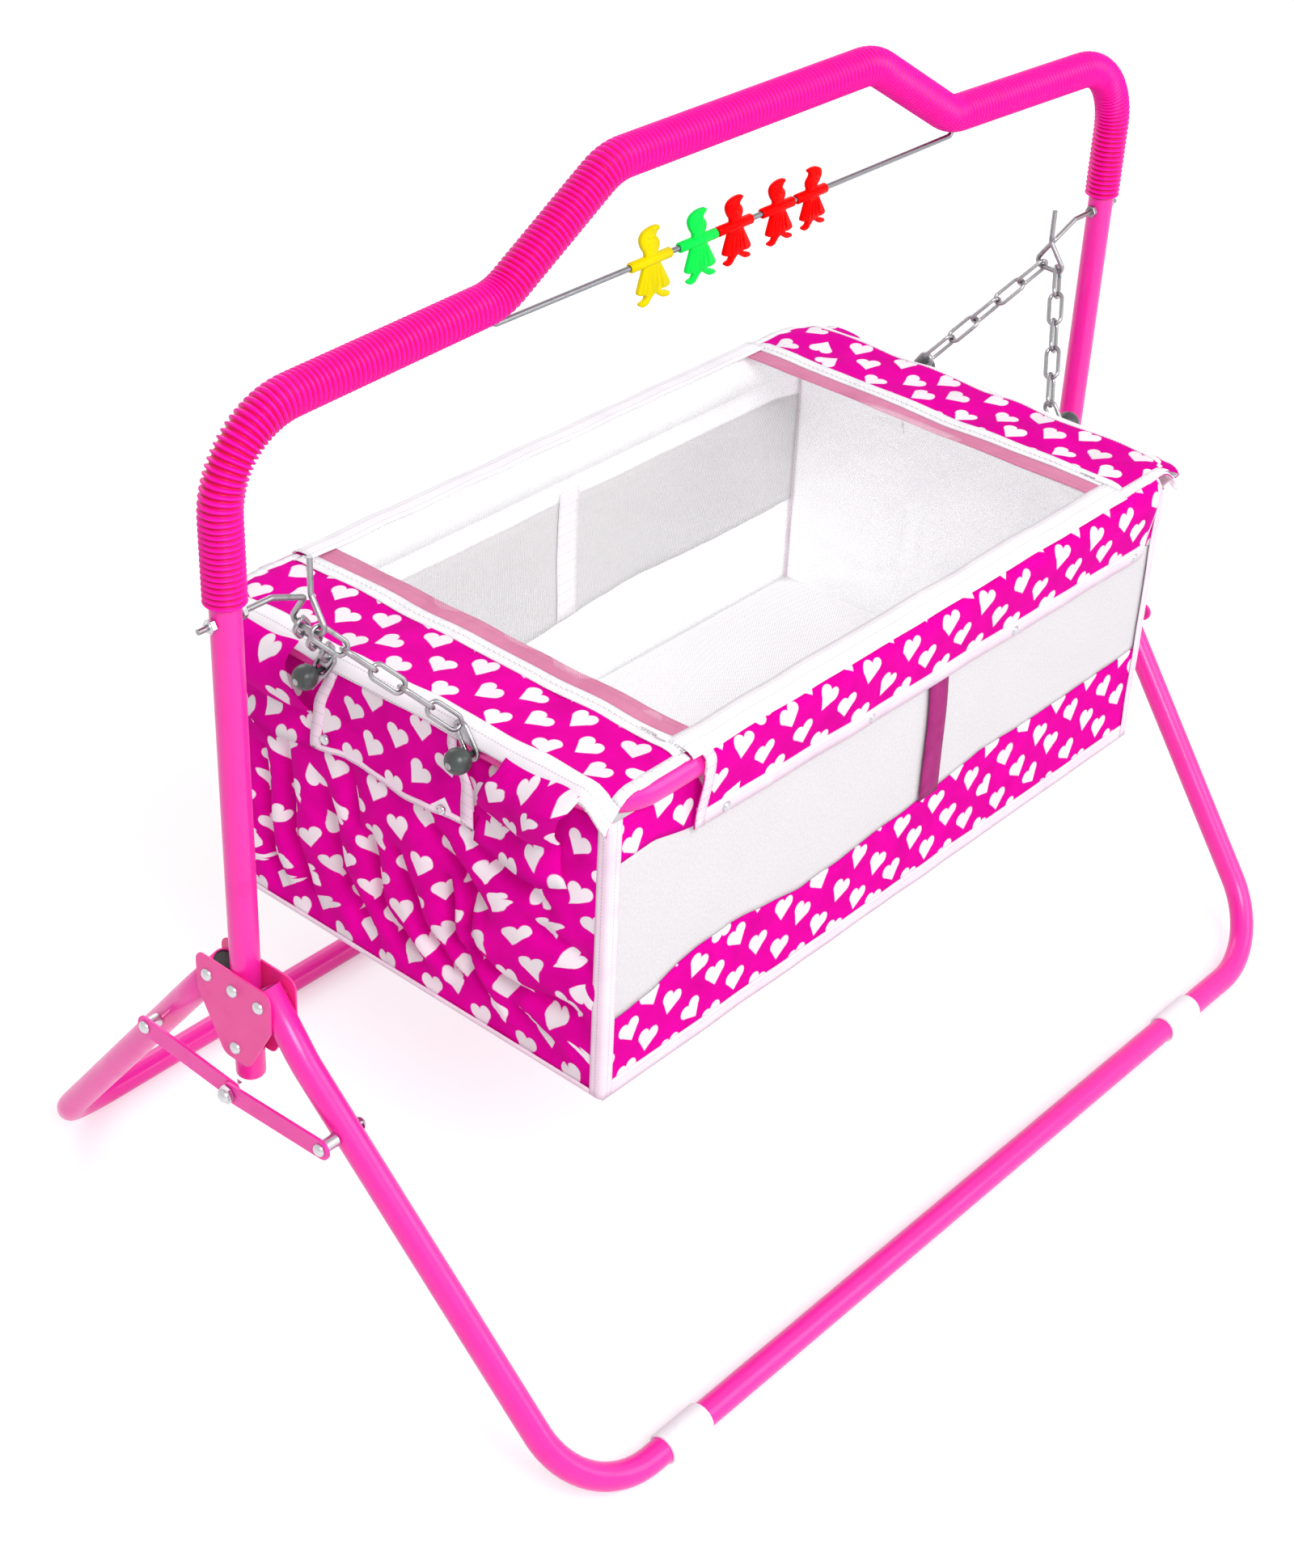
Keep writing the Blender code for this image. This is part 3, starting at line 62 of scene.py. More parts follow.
def addCamera():
    azimuth, elevation, roll = (math.radians(shot[key]) for key in ("azimuth", "elevation", "roll"))
    right = Vector((math.cos(azimuth), -math.sin(azimuth), 0))
    up = Vector((math.sin(azimuth) * math.sin(elevation), math.cos(azimuth) * math.sin(elevation),
                 math.cos(elevation)))
    screenRight = right * math.cos(roll) + up * math.sin(roll)
    screenUp = up * math.cos(roll) - right * math.sin(roll)
    data = bpy.data.cameras.new("studioCamera")
    data.lens = shot["lens"]
    data.sensor_width = shot["sensor"]
    data.sensor_fit = "HORIZONTAL"
    camera = newObject("studioCamera", data)
    turn = Matrix((screenRight, screenUp, screenRight.cross(screenUp))).transposed().to_4x4()
    camera.matrix_world = Matrix.Translation(shot["place"]) @ turn
    bpy.context.scene.camera = camera


def newObject(name, data):
    obj = bpy.data.objects.new(name, data)
    bpy.context.scene.collection.objects.link(obj)
    return obj


addCamera()
print("camera in place")


def linear(red, green, blue):
    # an everyday 0-255 colour to the renderer's own scale
    def one(value):
        value /= 255
        return value / 12.92 if value <= 0.04045 else ((value + 0.055) / 1.055) ** 2.4
    return (one(red), one(green), one(blue), 1.0)


def feed(tree, sockets, values):
    # link what comes from a node, set what is a plain value
    for key, value in values.items():
        if isinstance(value, bpy.types.NodeSocket):
            tree.links.new(value, sockets[key])
        else:
            sockets[key].default_value = value


def put(tree, kind, inputs=None, **settings):
    made = tree.nodes.new(kind)
    made.location = (200 * (len(tree.nodes) % 12), -220 * (len(tree.nodes) // 12))
    for key, value in settings.items():
        setattr(made, key, value)
    feed(tree, made.inputs, inputs or {})
    return made


operations = {"add": "ADD", "sub": "SUBTRACT", "mul": "MULTIPLY", "div": "DIVIDE", "min": "MINIMUM",
              "max": "MAXIMUM", "abs": "ABSOLUTE", "fract": "FRACT", "floor": "FLOOR", "sine": "SINE",
              "sqrt": "SQRT", "above": "GREATER_THAN", "below": "LESS_THAN"}


def mathIn(tree, kind="ShaderNodeMath"):
    # the arithmetic nodes of one tree, under short names
    def one(operation):
        return lambda *values: put(tree, kind, dict(enumerate(values)), operation=operation).outputs[0]
    return SimpleNamespace(**{name: one(operation) for name, operation in operations.items()})


def remap(tree, value, low, high, toLow=0.0, toHigh=1.0):
    return put(tree, "ShaderNodeMapRange", {0: value, 1: low, 2: high, 3: toLow, 4: toHigh}).outputs[0]


def axesOf(tree, vector):
    return put(tree, "ShaderNodeSeparateXYZ", {0: vector}).outputs


def clouds(tree, **inputs):
    return put(tree, "ShaderNodeTexNoise", inputs).outputs[0]


def speckles(tree, vector):
    return put(tree, "ShaderNodeTexWhiteNoise", {"Vector": vector}, noise_dimensions="3D").outputs["Color"]


def newGroup(name, inputs, outputs):
    # inputs: a vector first, then numbers or vectors with their usual values
    tree = bpy.data.node_groups.new(name, "ShaderNodeTree")
    tree.interface.new_socket("Vector", in_out="INPUT", socket_type="NodeSocketVector")
    for label, start in inputs.items():
        kind = "NodeSocketVector" if isinstance(start, tuple) else "NodeSocketFloat"
        tree.interface.new_socket(label, in_out="INPUT", socket_type=kind).default_value = start
    for label in outputs:
        tree.interface.new_socket(label, in_out="OUTPUT", socket_type="NodeSocketFloat")
    given, result = put(tree, "NodeGroupInput").outputs, put(tree, "NodeGroupOutput").inputs
    return tree, given, result, mathIn(tree)


heart = {"tall": 1.06, "lobeHigh": 0.32, "lobeOut": 0.48, "lobe": 0.52, "point": 0.95, "slope": (0.74, 0.673),
         "lid": 0.40, "edge": 0.035, "nudge": (0.007, 0.005, 0.0), "turnedOver": 0.94}


def heartLattice(tree, given, m, shift, seed):
    # one rectangular lattice of tilted hearts
    v = mathIn(tree, "ShaderNodeVectorMath")
    size = {0: given["Cell Width"], 1: given["Cell Height"], 2: 1.0}
    cell = put(tree, "ShaderNodeCombineXYZ", size).outputs[0]
    place = v.add(v.div(given["Vector"], cell), (shift, shift, 0.0))
    home = v.floor(place)
    local = v.mul(v.sub(v.sub(place, home), (0.5, 0.5, 0.0)), cell)
    local = v.add(local, v.mul(v.sub(speckles(tree, home), (0.5, 0.5, 0.5)), heart["nudge"]))
    chance = speckles(tree, v.add(home, (seed, seed * 2, seed * 3)))
    parts = put(tree, "ShaderNodeSeparateColor", {0: chance}).outputs
    tilt = m.mul(m.sub(parts[0], 0.5), m.mul(given["Tilt"], 2.0))
    angle = m.add(tilt, m.mul(m.above(parts[1], heart["turnedOver"]), math.pi))
    turned = put(tree, "ShaderNodeVectorRotate", {"Vector": local, "Angle": angle}, rotation_type="Z_AXIS")
    axes = axesOf(tree, turned.outputs[0])
    # two round lobes over a point
    across = m.abs(m.div(axes[0], given["Heart Size"]))
    upward = m.div(axes[1], m.mul(given["Heart Size"], heart["tall"]))
    over, beside = m.sub(upward, heart["lobeHigh"]), m.sub(across, heart["lobeOut"])
    lobe = m.sub(m.sqrt(m.add(m.mul(beside, beside), m.mul(over, over))), heart["lobe"])
    side, rise = heart["slope"]
    slope = m.sub(m.mul(across, side), m.mul(m.add(upward, heart["point"]), rise))
    lid = m.add(over, m.mul(across, heart["lid"]))
    return remap(tree, m.min(lobe, m.max(slope, lid)), heart["edge"], -heart["edge"]), parts[2]


def makeHeartPrint():
    usual = {"Cell Width": 0.057, "Cell Height": 0.048, "Heart Size": 0.0124, "Tilt": 0.6}
    tree, given, result, m = newGroup("heartPrint", usual, ("Mask", "Shade"))
    first, firstShade = heartLattice(tree, given, m, 0.0, 3.0)
    second, secondShade = heartLattice(tree, given, m, 0.5, 11.0)
    shade = m.add(m.mul(first, firstShade), m.mul(second, secondShade))
    feed(tree, result, {"Mask": m.max(first, second), "Shade": shade})
    return tree


def makeClothWeave():
    usual = {"Thread": 0.0006, "Crease Scale": 22.0}
    tree, given, result, m = newGroup("clothWeave", usual, ("Height", "Shade"))
    axes = axesOf(tree, given["Vector"])
    waves = [m.sine(m.mul(m.div(axis, given["Thread"]), math.pi)) for axis in (axes[0], axes[1])]
    crease = clouds(tree, Vector=given["Vector"], Scale=given["Crease Scale"], Detail=5.0, Roughness=0.6,
                    Distortion=0.8)
    slub = clouds(tree, Vector=given["Vector"], Scale=900.0, Detail=2.0)
    height = m.add(m.mul(m.mul(*waves), 0.05), m.add(crease, m.mul(slub, 0.12)))
    feed(tree, result, {"Height": height, "Shade": m.add(m.mul(crease, 0.7), m.mul(slub, 0.3))})
    return tree


def makeNetGrid():
    tree, given, result, m = newGroup("netGrid", {"Pitch": 0.0022, "Thread Share": 0.3}, ("Threads",))
    axes = axesOf(tree, given["Vector"])
    lines = []
    for lean in (1.0, -1.0):
        slant = m.add(axes[0], m.mul(axes[1], lean))
        middle = m.abs(m.sub(m.fract(m.div(slant, given["Pitch"])), 0.5))
        lines.append(m.below(middle, m.mul(given["Thread Share"], 0.5)))
    feed(tree, result, {"Threads": m.max(*lines)})
    return tree


def makeSurfaceGrain():
    usual = {"Scale": 40.0, "Stretch": (1.0, 1.0, 1.0)}
    tree, given, result, m = newGroup("surfaceGrain", usual, ("Cloud", "Speckle"))
    place = mathIn(tree, "ShaderNodeVectorMath").mul(given["Vector"], given["Stretch"])
    feed(tree, result, {"Cloud": clouds(tree, Vector=place, Scale=given["Scale"], Detail=6.0, Roughness=0.62),
                        "Speckle": clouds(tree, Vector=place, Scale=m.mul(given["Scale"], 24.0), Detail=2.0)})
    return tree


def makeStitchRow():
    tree, given, result, m = newGroup("stitchRow", {"Pitch": 0.004, "Row Gap": 0.009}, ("Mask",))
    axes = axesOf(tree, given["Vector"])
    dash = m.below(m.fract(m.div(axes[0], given["Pitch"])), 0.68)
    line = m.below(m.abs(m.sub(m.fract(m.div(axes[1], given["Row Gap"])), 0.5)), 0.05)
    feed(tree, result, {"Mask": m.mul(dash, line)})
    return tree


groups = {made.name: made for made in (makeHeartPrint(), makeClothWeave(), makeNetGrid(), makeSurfaceGrain(),
                                       makeStitchRow())}


def effect(tree, name, inputs):
    made = put(tree, "ShaderNodeGroup", node_tree=groups[name], width=200)
    feed(tree, made.inputs, inputs)
    return made.outputs


def newMaterial(name, **sockets):
    material = bpy.data.materials.new(name)
    material.use_nodes = True
    tree = material.node_tree
    shader = tree.nodes["Principled BSDF"]
    shader.location = (2600, 0)
    tree.nodes["Material Output"].location = (2900, 0)
    feed(tree, shader.inputs, {label.replace("_", " "): value for label, value in sockets.items()})
    return material, tree, shader.inputs, mathIn(tree)


def mixColour(tree, factor, first, second, blend="MIX"):
    inputs = {0: factor, 6: first, 7: second}
    return put(tree, "ShaderNodeMix", inputs, data_type="RGBA", blend_type=blend).outputs[2]


def bump(tree, height, strength, distance):
    inputs = {"Height": height, "Strength": strength, "Distance": distance}
    return put(tree, "ShaderNodeBump", inputs).outputs[0]


def cutIn(tree):
    return put(tree, "ShaderNodeUVMap", uv_map="cut").outputs[0]


def hardFinish(name, base, worn, roughness, spread, metallic=0.0, scale=40.0, stretch=(1.0, 1.0, 1.0),
               coat=0.0, shine=0.5, grooveShade=None):
    # paint, plastic or metal with a cloudy tone, fine speckle and uneven polish; a groove colour is painted
    # shade, darkening the grooves of a ribbed part
    material, tree, shader, m = newMaterial(name, Metallic=metallic, Coat_Weight=coat, Coat_Roughness=0.12,
                                            Specular_IOR_Level=shine)
    place = put(tree, "ShaderNodeTexCoord").outputs["Object"]
    grain = effect(tree, "surfaceGrain", {"Vector": place, "Scale": scale, "Stretch": stretch})
    tone = m.add(m.mul(grain["Cloud"], 0.7), m.mul(grain["Speckle"], 0.3))
    colour = mixColour(tree, remap(tree, tone, 0.55, 0.75), linear(*base), linear(*worn))
    if grooveShade:
        # painted shade: the cut's first number counts the ribs, whole at the bottom of a groove, and the
        # colour is darkened towards the groove bottoms as if in shade
        deep = m.abs(m.sub(m.fract(axesOf(tree, cutIn(tree))[0]), 0.5))
        colour = mixColour(tree, remap(tree, deep, 0.20, 0.44), colour, linear(*grooveShade))
    feed(tree, shader, {"Base Color": colour, "Normal": bump(tree, grain["Speckle"], 0.15, 0.0004),
                        "Roughness": remap(tree, tone, 0.3, 0.7, roughness - spread, roughness + spread)})
    return material


def clothFinish(name, base, shaded, thread=0.0006, crease=22.0, relief=0.35, hearts=None, stitches=None,
                sheen=0.04, glow=0.0, shine=0.15):
    # woven cloth by its cut in metres; hearts are the two tones of the print, stitches their pitch and gap
    # glow is painted light: the cloth gives off light of its own so that it looks brighter
    material, tree, shader, m = newMaterial(name, Roughness=0.85, Sheen_Weight=sheen, Sheen_Roughness=0.5,
                                            Specular_IOR_Level=shine, Emission_Strength=glow)
    cut = cutIn(tree)
    weave = effect(tree, "clothWeave", {"Vector": cut, "Thread": thread, "Crease Scale": crease})
    colour = mixColour(tree, remap(tree, weave["Shade"], 0.35, 0.68), linear(*base), linear(*shaded))
    height = weave["Height"]
    if hearts:
        printed = effect(tree, "heartPrint", {"Vector": cut})
        tint = mixColour(tree, printed["Shade"], *[linear(*tone) for tone in hearts])
        colour = mixColour(tree, printed["Mask"], colour, tint)
    if stitches:
        row = effect(tree, "stitchRow", {"Vector": cut, "Pitch": stitches[0], "Row Gap": stitches[1]})
        colour = mixColour(tree, m.mul(row["Mask"], 0.35), colour, linear(150, 120, 140))
        height = m.add(height, m.mul(row["Mask"], 0.3))
    feed(tree, shader, {"Base Color": colour, "Normal": bump(tree, height, relief, 0.0012)})
    return material


def sheerFinish(name, base, pitch, share, solid, holes, glow=0.0, shade=1.0):
    # see-through net: solid is the cover of a thread, holes that of what lies between, shade its shadow
    base = linear(*base)
    # glow is painted light: the net gives off light of its own so that it looks brighter
    material, tree, shader, m = newMaterial(name, Roughness=0.75, Base_Color=base, Emission_Strength=glow)
    cut = cutIn(tree)
    net = effect(tree, "netGrid", {"Vector": cut, "Pitch": pitch, "Thread Share": share})
    weave = effect(tree, "clothWeave", {"Vector": cut, "Thread": pitch, "Crease Scale": 14.0})
    grain = effect(tree, "surfaceGrain", {"Vector": cut, "Scale": 16.0})
    tone = remap(tree, grain["Speckle"], 0.3, 0.7, 0.92, 1.04)
    dimmed = put(tree, "ShaderNodeCombineColor", {0: tone, 1: tone, 2: tone}).outputs[0]
    uneven = m.mul(m.sub(weave["Shade"], 0.5), 0.12)
    cover = m.add(remap(tree, net["Threads"], 0.0, 1.0, holes, solid), uneven)
    shadow = put(tree, "ShaderNodeLightPath").outputs["Is Shadow Ray"]
    feed(tree, shader, {"Base Color": mixColour(tree, 1.0, base, dimmed, "MULTIPLY"),
                        "Alpha": m.mul(cover, m.sub(1.0, m.mul(shadow, 1.0 - shade))),
                        "Normal": bump(tree, weave["Height"], 0.2, 0.0008)})
    return material


tubePaint = hardFinish("tubePaint", (246, 34, 166), (236, 20, 150), 0.34, 0.08, scale=30.0, coat=0.25,
                       shine=0.4)
bracketPaint = hardFinish("bracketPaint", (243, 54, 154), (230, 40, 140), 0.4, 0.08, scale=50.0, coat=0.15)
# the darker third colour is painted shade in the sleeve's grooves
sleevePlastic = hardFinish("sleevePlastic", (252, 5, 170), (240, 0, 148), 0.38, 0.06, scale=60.0, shine=0.20,
                           grooveShade=(204, 0, 54))
rivetSteel = hardFinish("rivetSteel", (205, 205, 208), (150, 152, 156), 0.26, 0.1, 1.0, 90.0)
chainSteel = hardFinish("chainSteel", (164, 163, 165), (84, 85, 88), 0.24, 0.1, 1.0, 120.0)
hookSteel = hardFinish("hookSteel", (160, 159, 161), (86, 86, 88), 0.3, 0.1, 1.0, 120.0)
wireSteel = hardFinish("wireSteel", (150, 152, 156), (96, 98, 102), 0.25, 0.08, 1.0, 80.0, (0.1, 1.0, 1.0))
bandPlastic = hardFinish("bandPlastic", (240, 240, 242), (222, 222, 226), 0.45, 0.06)
knobRubber = hardFinish("knobRubber", (62, 70, 68), (40, 46, 45), 0.32, 0.08, scale=90.0)
toyPlastic = {
    "yellow": hardFinish("toyYellow", (225, 207, 0), (212, 190, 0), 0.38, 0.06, scale=70.0, shine=0.06),
    "green": hardFinish("toyGreen", (14, 230, 80), (4, 210, 62), 0.38, 0.06, scale=70.0, shine=0.06),
    "red": hardFinish("toyRed", (236, 0, 0), (212, 0, 0), 0.38, 0.06, scale=70.0, shine=0.05),
}
heartCloth = clothFinish("heartCloth", (232, 0, 164), (206, 0, 142), sheen=0.0, shine=0.04,
                         hearts=((250, 240, 247), (232, 225, 229)))
# the lining's glow is painted light that brightens the white cloth inside the basket
liningCloth = clothFinish("liningCloth", (252, 252, 253), (243, 243, 246), crease=12.0, glow=0.12)
bindingTape = clothFinish("bindingTape", (250, 232, 244), (238, 214, 232), 0.0009, stitches=(0.0035, 0.011))
whiteTape = clothFinish("whiteTape", (250, 248, 251), (238, 234, 240), 0.0009, stitches=(0.0035, 0.011))
zipTape = clothFinish("zipTape", (248, 247, 249), (228, 227, 231), 0.0012, 60.0)
ribbonTape = clothFinish("ribbonTape", (216, 138, 170), (204, 118, 154), 0.0007, stitches=(0.0035, 0.014))
strapTape = clothFinish("strapTape", (168, 48, 122), (146, 30, 104), 0.0008, 40.0)
# the mattress glows a little: painted light that brightens it
padCloth = clothFinish("padCloth", (249, 249, 250), (241, 241, 243), crease=9.0, relief=0.3, glow=0.05)
windowMesh = sheerFinish("windowMesh", (223, 220, 222), 0.0016, 0.4, 0.97, 0.84, shade=0.6)
# the window's inner side is a darker copy of the window cloth: painted shade, for the inside of the basket
# lying in shade
windowShadedInside = sheerFinish("windowShadedInside", (206, 205, 206), 0.0016, 0.4, 0.98, 0.88, shade=0.6)
# the net's glow is painted light that brightens it
netMesh = sheerFinish("coverNet", (253, 253, 254), 0.0022, 0.22, 0.30, 0.03, glow=0.10, shade=0.15)
print("materials ready")


def meshPiece(name, points, polygons, material, cuts=None, sharp=40.0, fix=True):
    mesh = bpy.data.meshes.new(name)
    mesh.from_pydata([tuple(p) for p in points], [], polygons)
    if fix:
        cleaned(mesh)
    if cuts:
        layer = mesh.uv_layers.new(name="cut")
        for loop in mesh.loops:
            layer.data[loop.index].uv = cuts[loop.vertex_index]
    mesh.materials.append(material)
    mesh.shade_smooth()
    mesh.set_sharp_from_angle(angle=math.radians(sharp))
    return newObject(name, mesh)


def cleaned(mesh, near=0.0):
    # faces turned outward, and points nearer than near made one
    form = bmesh.new()
    form.from_mesh(mesh)
    if near:
        bmesh.ops.remove_doubles(form, verts=form.verts, dist=near)
    bmesh.ops.recalc_face_normals(form, faces=form.faces)
    form.to_mesh(mesh)
    form.free()


def dress(piece, body, slot, *nodes):
    if body:
        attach(piece, body)
    if nodes:
        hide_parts(*nodes)
    return piece


def evenly(low, high, count):
    # low to high in count equal steps
    return [low + (high - low) * k / count for k in range(count + 1)]


def clamp(value, low=0, high=1):
    return min(max(value, low), high)


def arcPoints(radius, low, high, count):
    return [(radius * math.cos(turn), radius * math.sin(turn)) for turn in evenly(low, high, count)]


def roundedPath(points, radii, steps=10, closed=False):
    # straight runs joined by circular bends
    count = len(points)
    path = []
    for index, point in enumerate(points):
        point, radius = Vector(point), radii[index]
        if radius == 0 or not (closed or 0 < index < count - 1):
            path.append(point)
            continue
        before = (Vector(points[index - 1]) - point).normalized()
        after = (Vector(points[(index + 1) % count]) - point).normalized()
        half = before.angle(after) / 2
        centre = point + (before + after).normalized() * (radius / math.sin(half))
        start = point + before * (radius / math.tan(half)) - centre
        end = point + after * (radius / math.tan(half)) - centre
        turn = start.angle(end)
        for share in evenly(0, 1, steps):
            blend = start * math.sin((1 - share) * turn) + end * math.sin(share * turn)
            path.append(centre + blend / math.sin(turn))
    return path


def boxCorners(x, y, z):
    return [(-x, -y, z), (x, -y, z), (x, y, z), (-x, y, z)]


def evenPath(path, gap):
    lengths = [(b - a).length for a, b in zip(path, path[1:])]
    total = sum(lengths)
    spots, piece, run = [], 0, 0.0
    for goal in evenly(0, total, max(1, round(total / gap))):
        while piece < len(lengths) - 1 and run + lengths[piece] < goal:
            run += lengths[piece]
            piece += 1
        share = clamp((goal - run) / max(lengths[piece], 1e-9))
        spots.append(path[piece].lerp(path[piece + 1], share))
    return spots


def tubeFaces(count, around, closed=False):
    polygons = []
    for index in range(count if closed else count - 1):
        here, there = index * around, (index + 1) % count * around
        polygons += [(here + k, here + (k + 1) % around, there + (k + 1) % around, there + k)
                     for k in range(around)]
    if not closed:
        polygons += [tuple(range(around)), tuple(range((count - 1) * around, count * around))]
    return polygons


def sweepMesh(path, radii, around=24, closed=False, start=None, tangents=None):
    # rings along a path, each turned as little as it can be from the one before
    count = len(path)
    if not isinstance(radii, (list, tuple)):
        radii = [radii] * count
    if not tangents:
        tangents = []
        for index in range(count):
            before = path[index - 1] if closed or index else path[0]
            after = path[(index + 1) % count] if closed or index < count - 1 else path[-1]
            tangents.append((after - before).normalized())
    normal = Vector(start) if start else tangents[0].orthogonal()
    normal = (normal - tangents[0] * normal.dot(tangents[0])).normalized()
    points = []
    for centre, radius, tangent in zip(path, radii, tangents):
        normal = (normal - tangent * normal.dot(tangent)).normalized()
        other = tangent.cross(normal)
        points += [centre + (normal * math.cos(turn) + other * math.sin(turn)) * radius
                   for turn in evenly(0, 2 * math.pi, around)[:-1]]
    return points, tubeFaces(count, around, closed)


def sweep(name, path, radii, material, around=24, closed=False, start=None):
    return meshPiece(name, *sweepMesh(path, radii, around, closed, start), material)


def latheMesh(profile, place, steps=32):
    # profile of (radius, height) points; a point on the axis is one vertex
    points, polygons, rings = [], [], []
    for radius, height in profile:
        count = 1 if radius < 1e-7 else steps
        rings.append([len(points) + step % count for step in range(steps)])
        for turn in evenly(0, 2 * math.pi, steps)[:count]:
            spot = Vector((radius * math.cos(turn), radius * math.sin(turn), height))
            points.append(place @ (Vector((0, 0, height)) if count == 1 else spot))
    for upper, lower in zip(rings, rings[1:]):
        for a, b, c, d in zip(upper, lower, lower[1:] + lower[:1], upper[1:] + upper[:1]):
            polygon = (a, b, c) if a == d else (a, b, d) if b == c else (a, b, c, d)
            if len(set(polygon)) > 2:
                polygons.append(polygon)
    return points, polygons


def lathe(name, profile, place, material, steps=32):
    return meshPiece(name, *latheMesh(profile, place, steps), material, sharp=35.0)


def joined(name, meshes, material, sharp=35.0):
    points, polygons = [], []
    for more, indices in meshes:
        base = len(points)
        points += more
        polygons += [tuple(base + i for i in face) for face in indices]
    return meshPiece(name, points, polygons, material, sharp=sharp)


def twiceArea(loop):
    return sum(a[0] * b[1] - b[0] * a[1] for a, b in zip([loop[-1], *loop], loop))


def slabMesh(outline, thickness, place, edge=0.0006):
    # flat plate with broken edges, from a 2D outline
    count = len(outline)
    if twiceArea(outline) < 0:
        outline = outline[::-1]
    inset = []
    for i in range(count):
        a, b, c = (Vector(outline[j % count]) for j in (i - 1, i, i + 1))
        first, second = (b - a).normalized(), (c - b).normalized()
        inward = Vector((-(first.y + second.y), first.x + second.x))
        inward = inward.normalized() if inward.length > 1e-9 else Vector((0, 0))
        inset.append(b + inward * edge)
    layers = [(inset, thickness / 2), (outline, thickness / 2 - edge), (outline, edge - thickness / 2),
              (inset, -thickness / 2)]
    points = [place @ Vector((u, v, h)) for layer, h in layers for u, v in layer]
    return points, tubeFaces(4, count)


def barMesh(wide, tall, thickness, place, edge, low=None):
    # a small plate of half sizes wide and tall, low being the half width of its far end
    low = wide if low is None else low
    return slabMesh([(-wide, -tall), (wide, -tall), (low, tall), (-low, tall)], thickness, place, edge)


def alongX(spot, sign=1, angle=0.0):
    # a frame at a spot whose Z is the way out from the cradle's middle, first turned by angle about X
    flip = Matrix.Rotation(0 if sign > 0 else math.pi, 4, "Z")
    axes = Matrix(((0, 0, 1), (1, 0, 0), (0, 1, 0))).to_4x4()
    return Matrix.Translation(spot) @ Matrix.Rotation(angle, 4, "X") @ flip @ axes


def facing(spot, way):
    # a frame at a spot whose Z is the given way
    return Matrix.Translation(spot) @ way.to_track_quat("Z", "Y").to_matrix().to_4x4()


def dome(radius, height):
    return [(radius * math.sin(t), height * math.cos(t)) for t in evenly(0, math.pi / 2, 8)]


pin = {"head": (0.006, 0.0042), "shank": 0.003}


def pinProfile(high, low, middle=()):
    # a rivet with a domed head beyond high and another beyond low
    head, shank = dome(*pin["head"]), pin["shank"]
    return ([(r, high + h) for r, h in head] + [(shank, high), *middle, (shank, low)]
            + [(r, low - h) for r, h in reversed(head)])


def rodMesh(radius, high, low, place, steps):
    return latheMesh([(0, high), (radius, high), (radius, low), (0, low)], place, steps)


def hexMesh(across, low, high, place):
    radius = across / 2 / math.cos(math.pi / 6)
    outline = arcPoints(radius, 0, 2 * math.pi, 6)[:-1]
    return slabMesh(outline, high - low, place @ Matrix.Translation((0, 0, (low + high) / 2)))


# Stand
stand = {"tube": 0.0127, "wall": 0.0015, "halfSpan": 0.590, "uprightFoot": 0.312, "uprightTop": 0.8149,
         "pivotHeight": 0.410, "pivotOffset": 0.0315, "legBeyond": 0.0108, "kneeDrop": 0.060,
         "floorHalfSpan": 0.549, "frontCorner": (-0.3565, 0.0147), "backCorner": (0.3593, 0.0127),
         "kneeRadius": 0.150, "bendRadius": 0.090, "openDepth": 0.028, "lip": 0.0004}


def addUprights():
    radius, top = stand["tube"], stand["uprightTop"]
    foot = [(r, stand["uprightFoot"] + radius / 2 - z) for r, z in reversed(dome(radius, radius / 2))]
    bore, seat = radius - stand["wall"], top - 0.03
    profile = [(0, seat), (bore, seat), (bore, top), (radius, top)]
    profile += [(radius, z) for z in evenly(top, foot[0][1], 12)[1:-1]]
    for side, sign in sides:
        place = Matrix.Translation((sign * stand["halfSpan"], 0, 0))
        piece = lathe(f"uprightTube_{side}", profile + foot, place, tubePaint, 40)
        dress(piece, "frame", "tube_paint", f"upright_{side}")


def legPoint(corner, drop):
    way = -1 if corner[0] < 0 else 1
    pivot = Vector((way * stand["pivotOffset"], stand["pivotHeight"]))
    floor = Vector(corner)
    down = (floor - pivot).normalized()
    length = (floor - pivot).length
    share = max(drop - stand["kneeDrop"], 0) / (length - stand["kneeDrop"])
    x = stand["halfSpan"] + (stand["floorHalfSpan"] - stand["halfSpan"]) * share
    spot = pivot + down * drop
    return Vector((x, spot.x, spot.y)), length


tubePlug = {"play": 0.0001, "edge": 0.001, "high": 0.0022, "shoulder": 0.0014, "deep": 0.02}


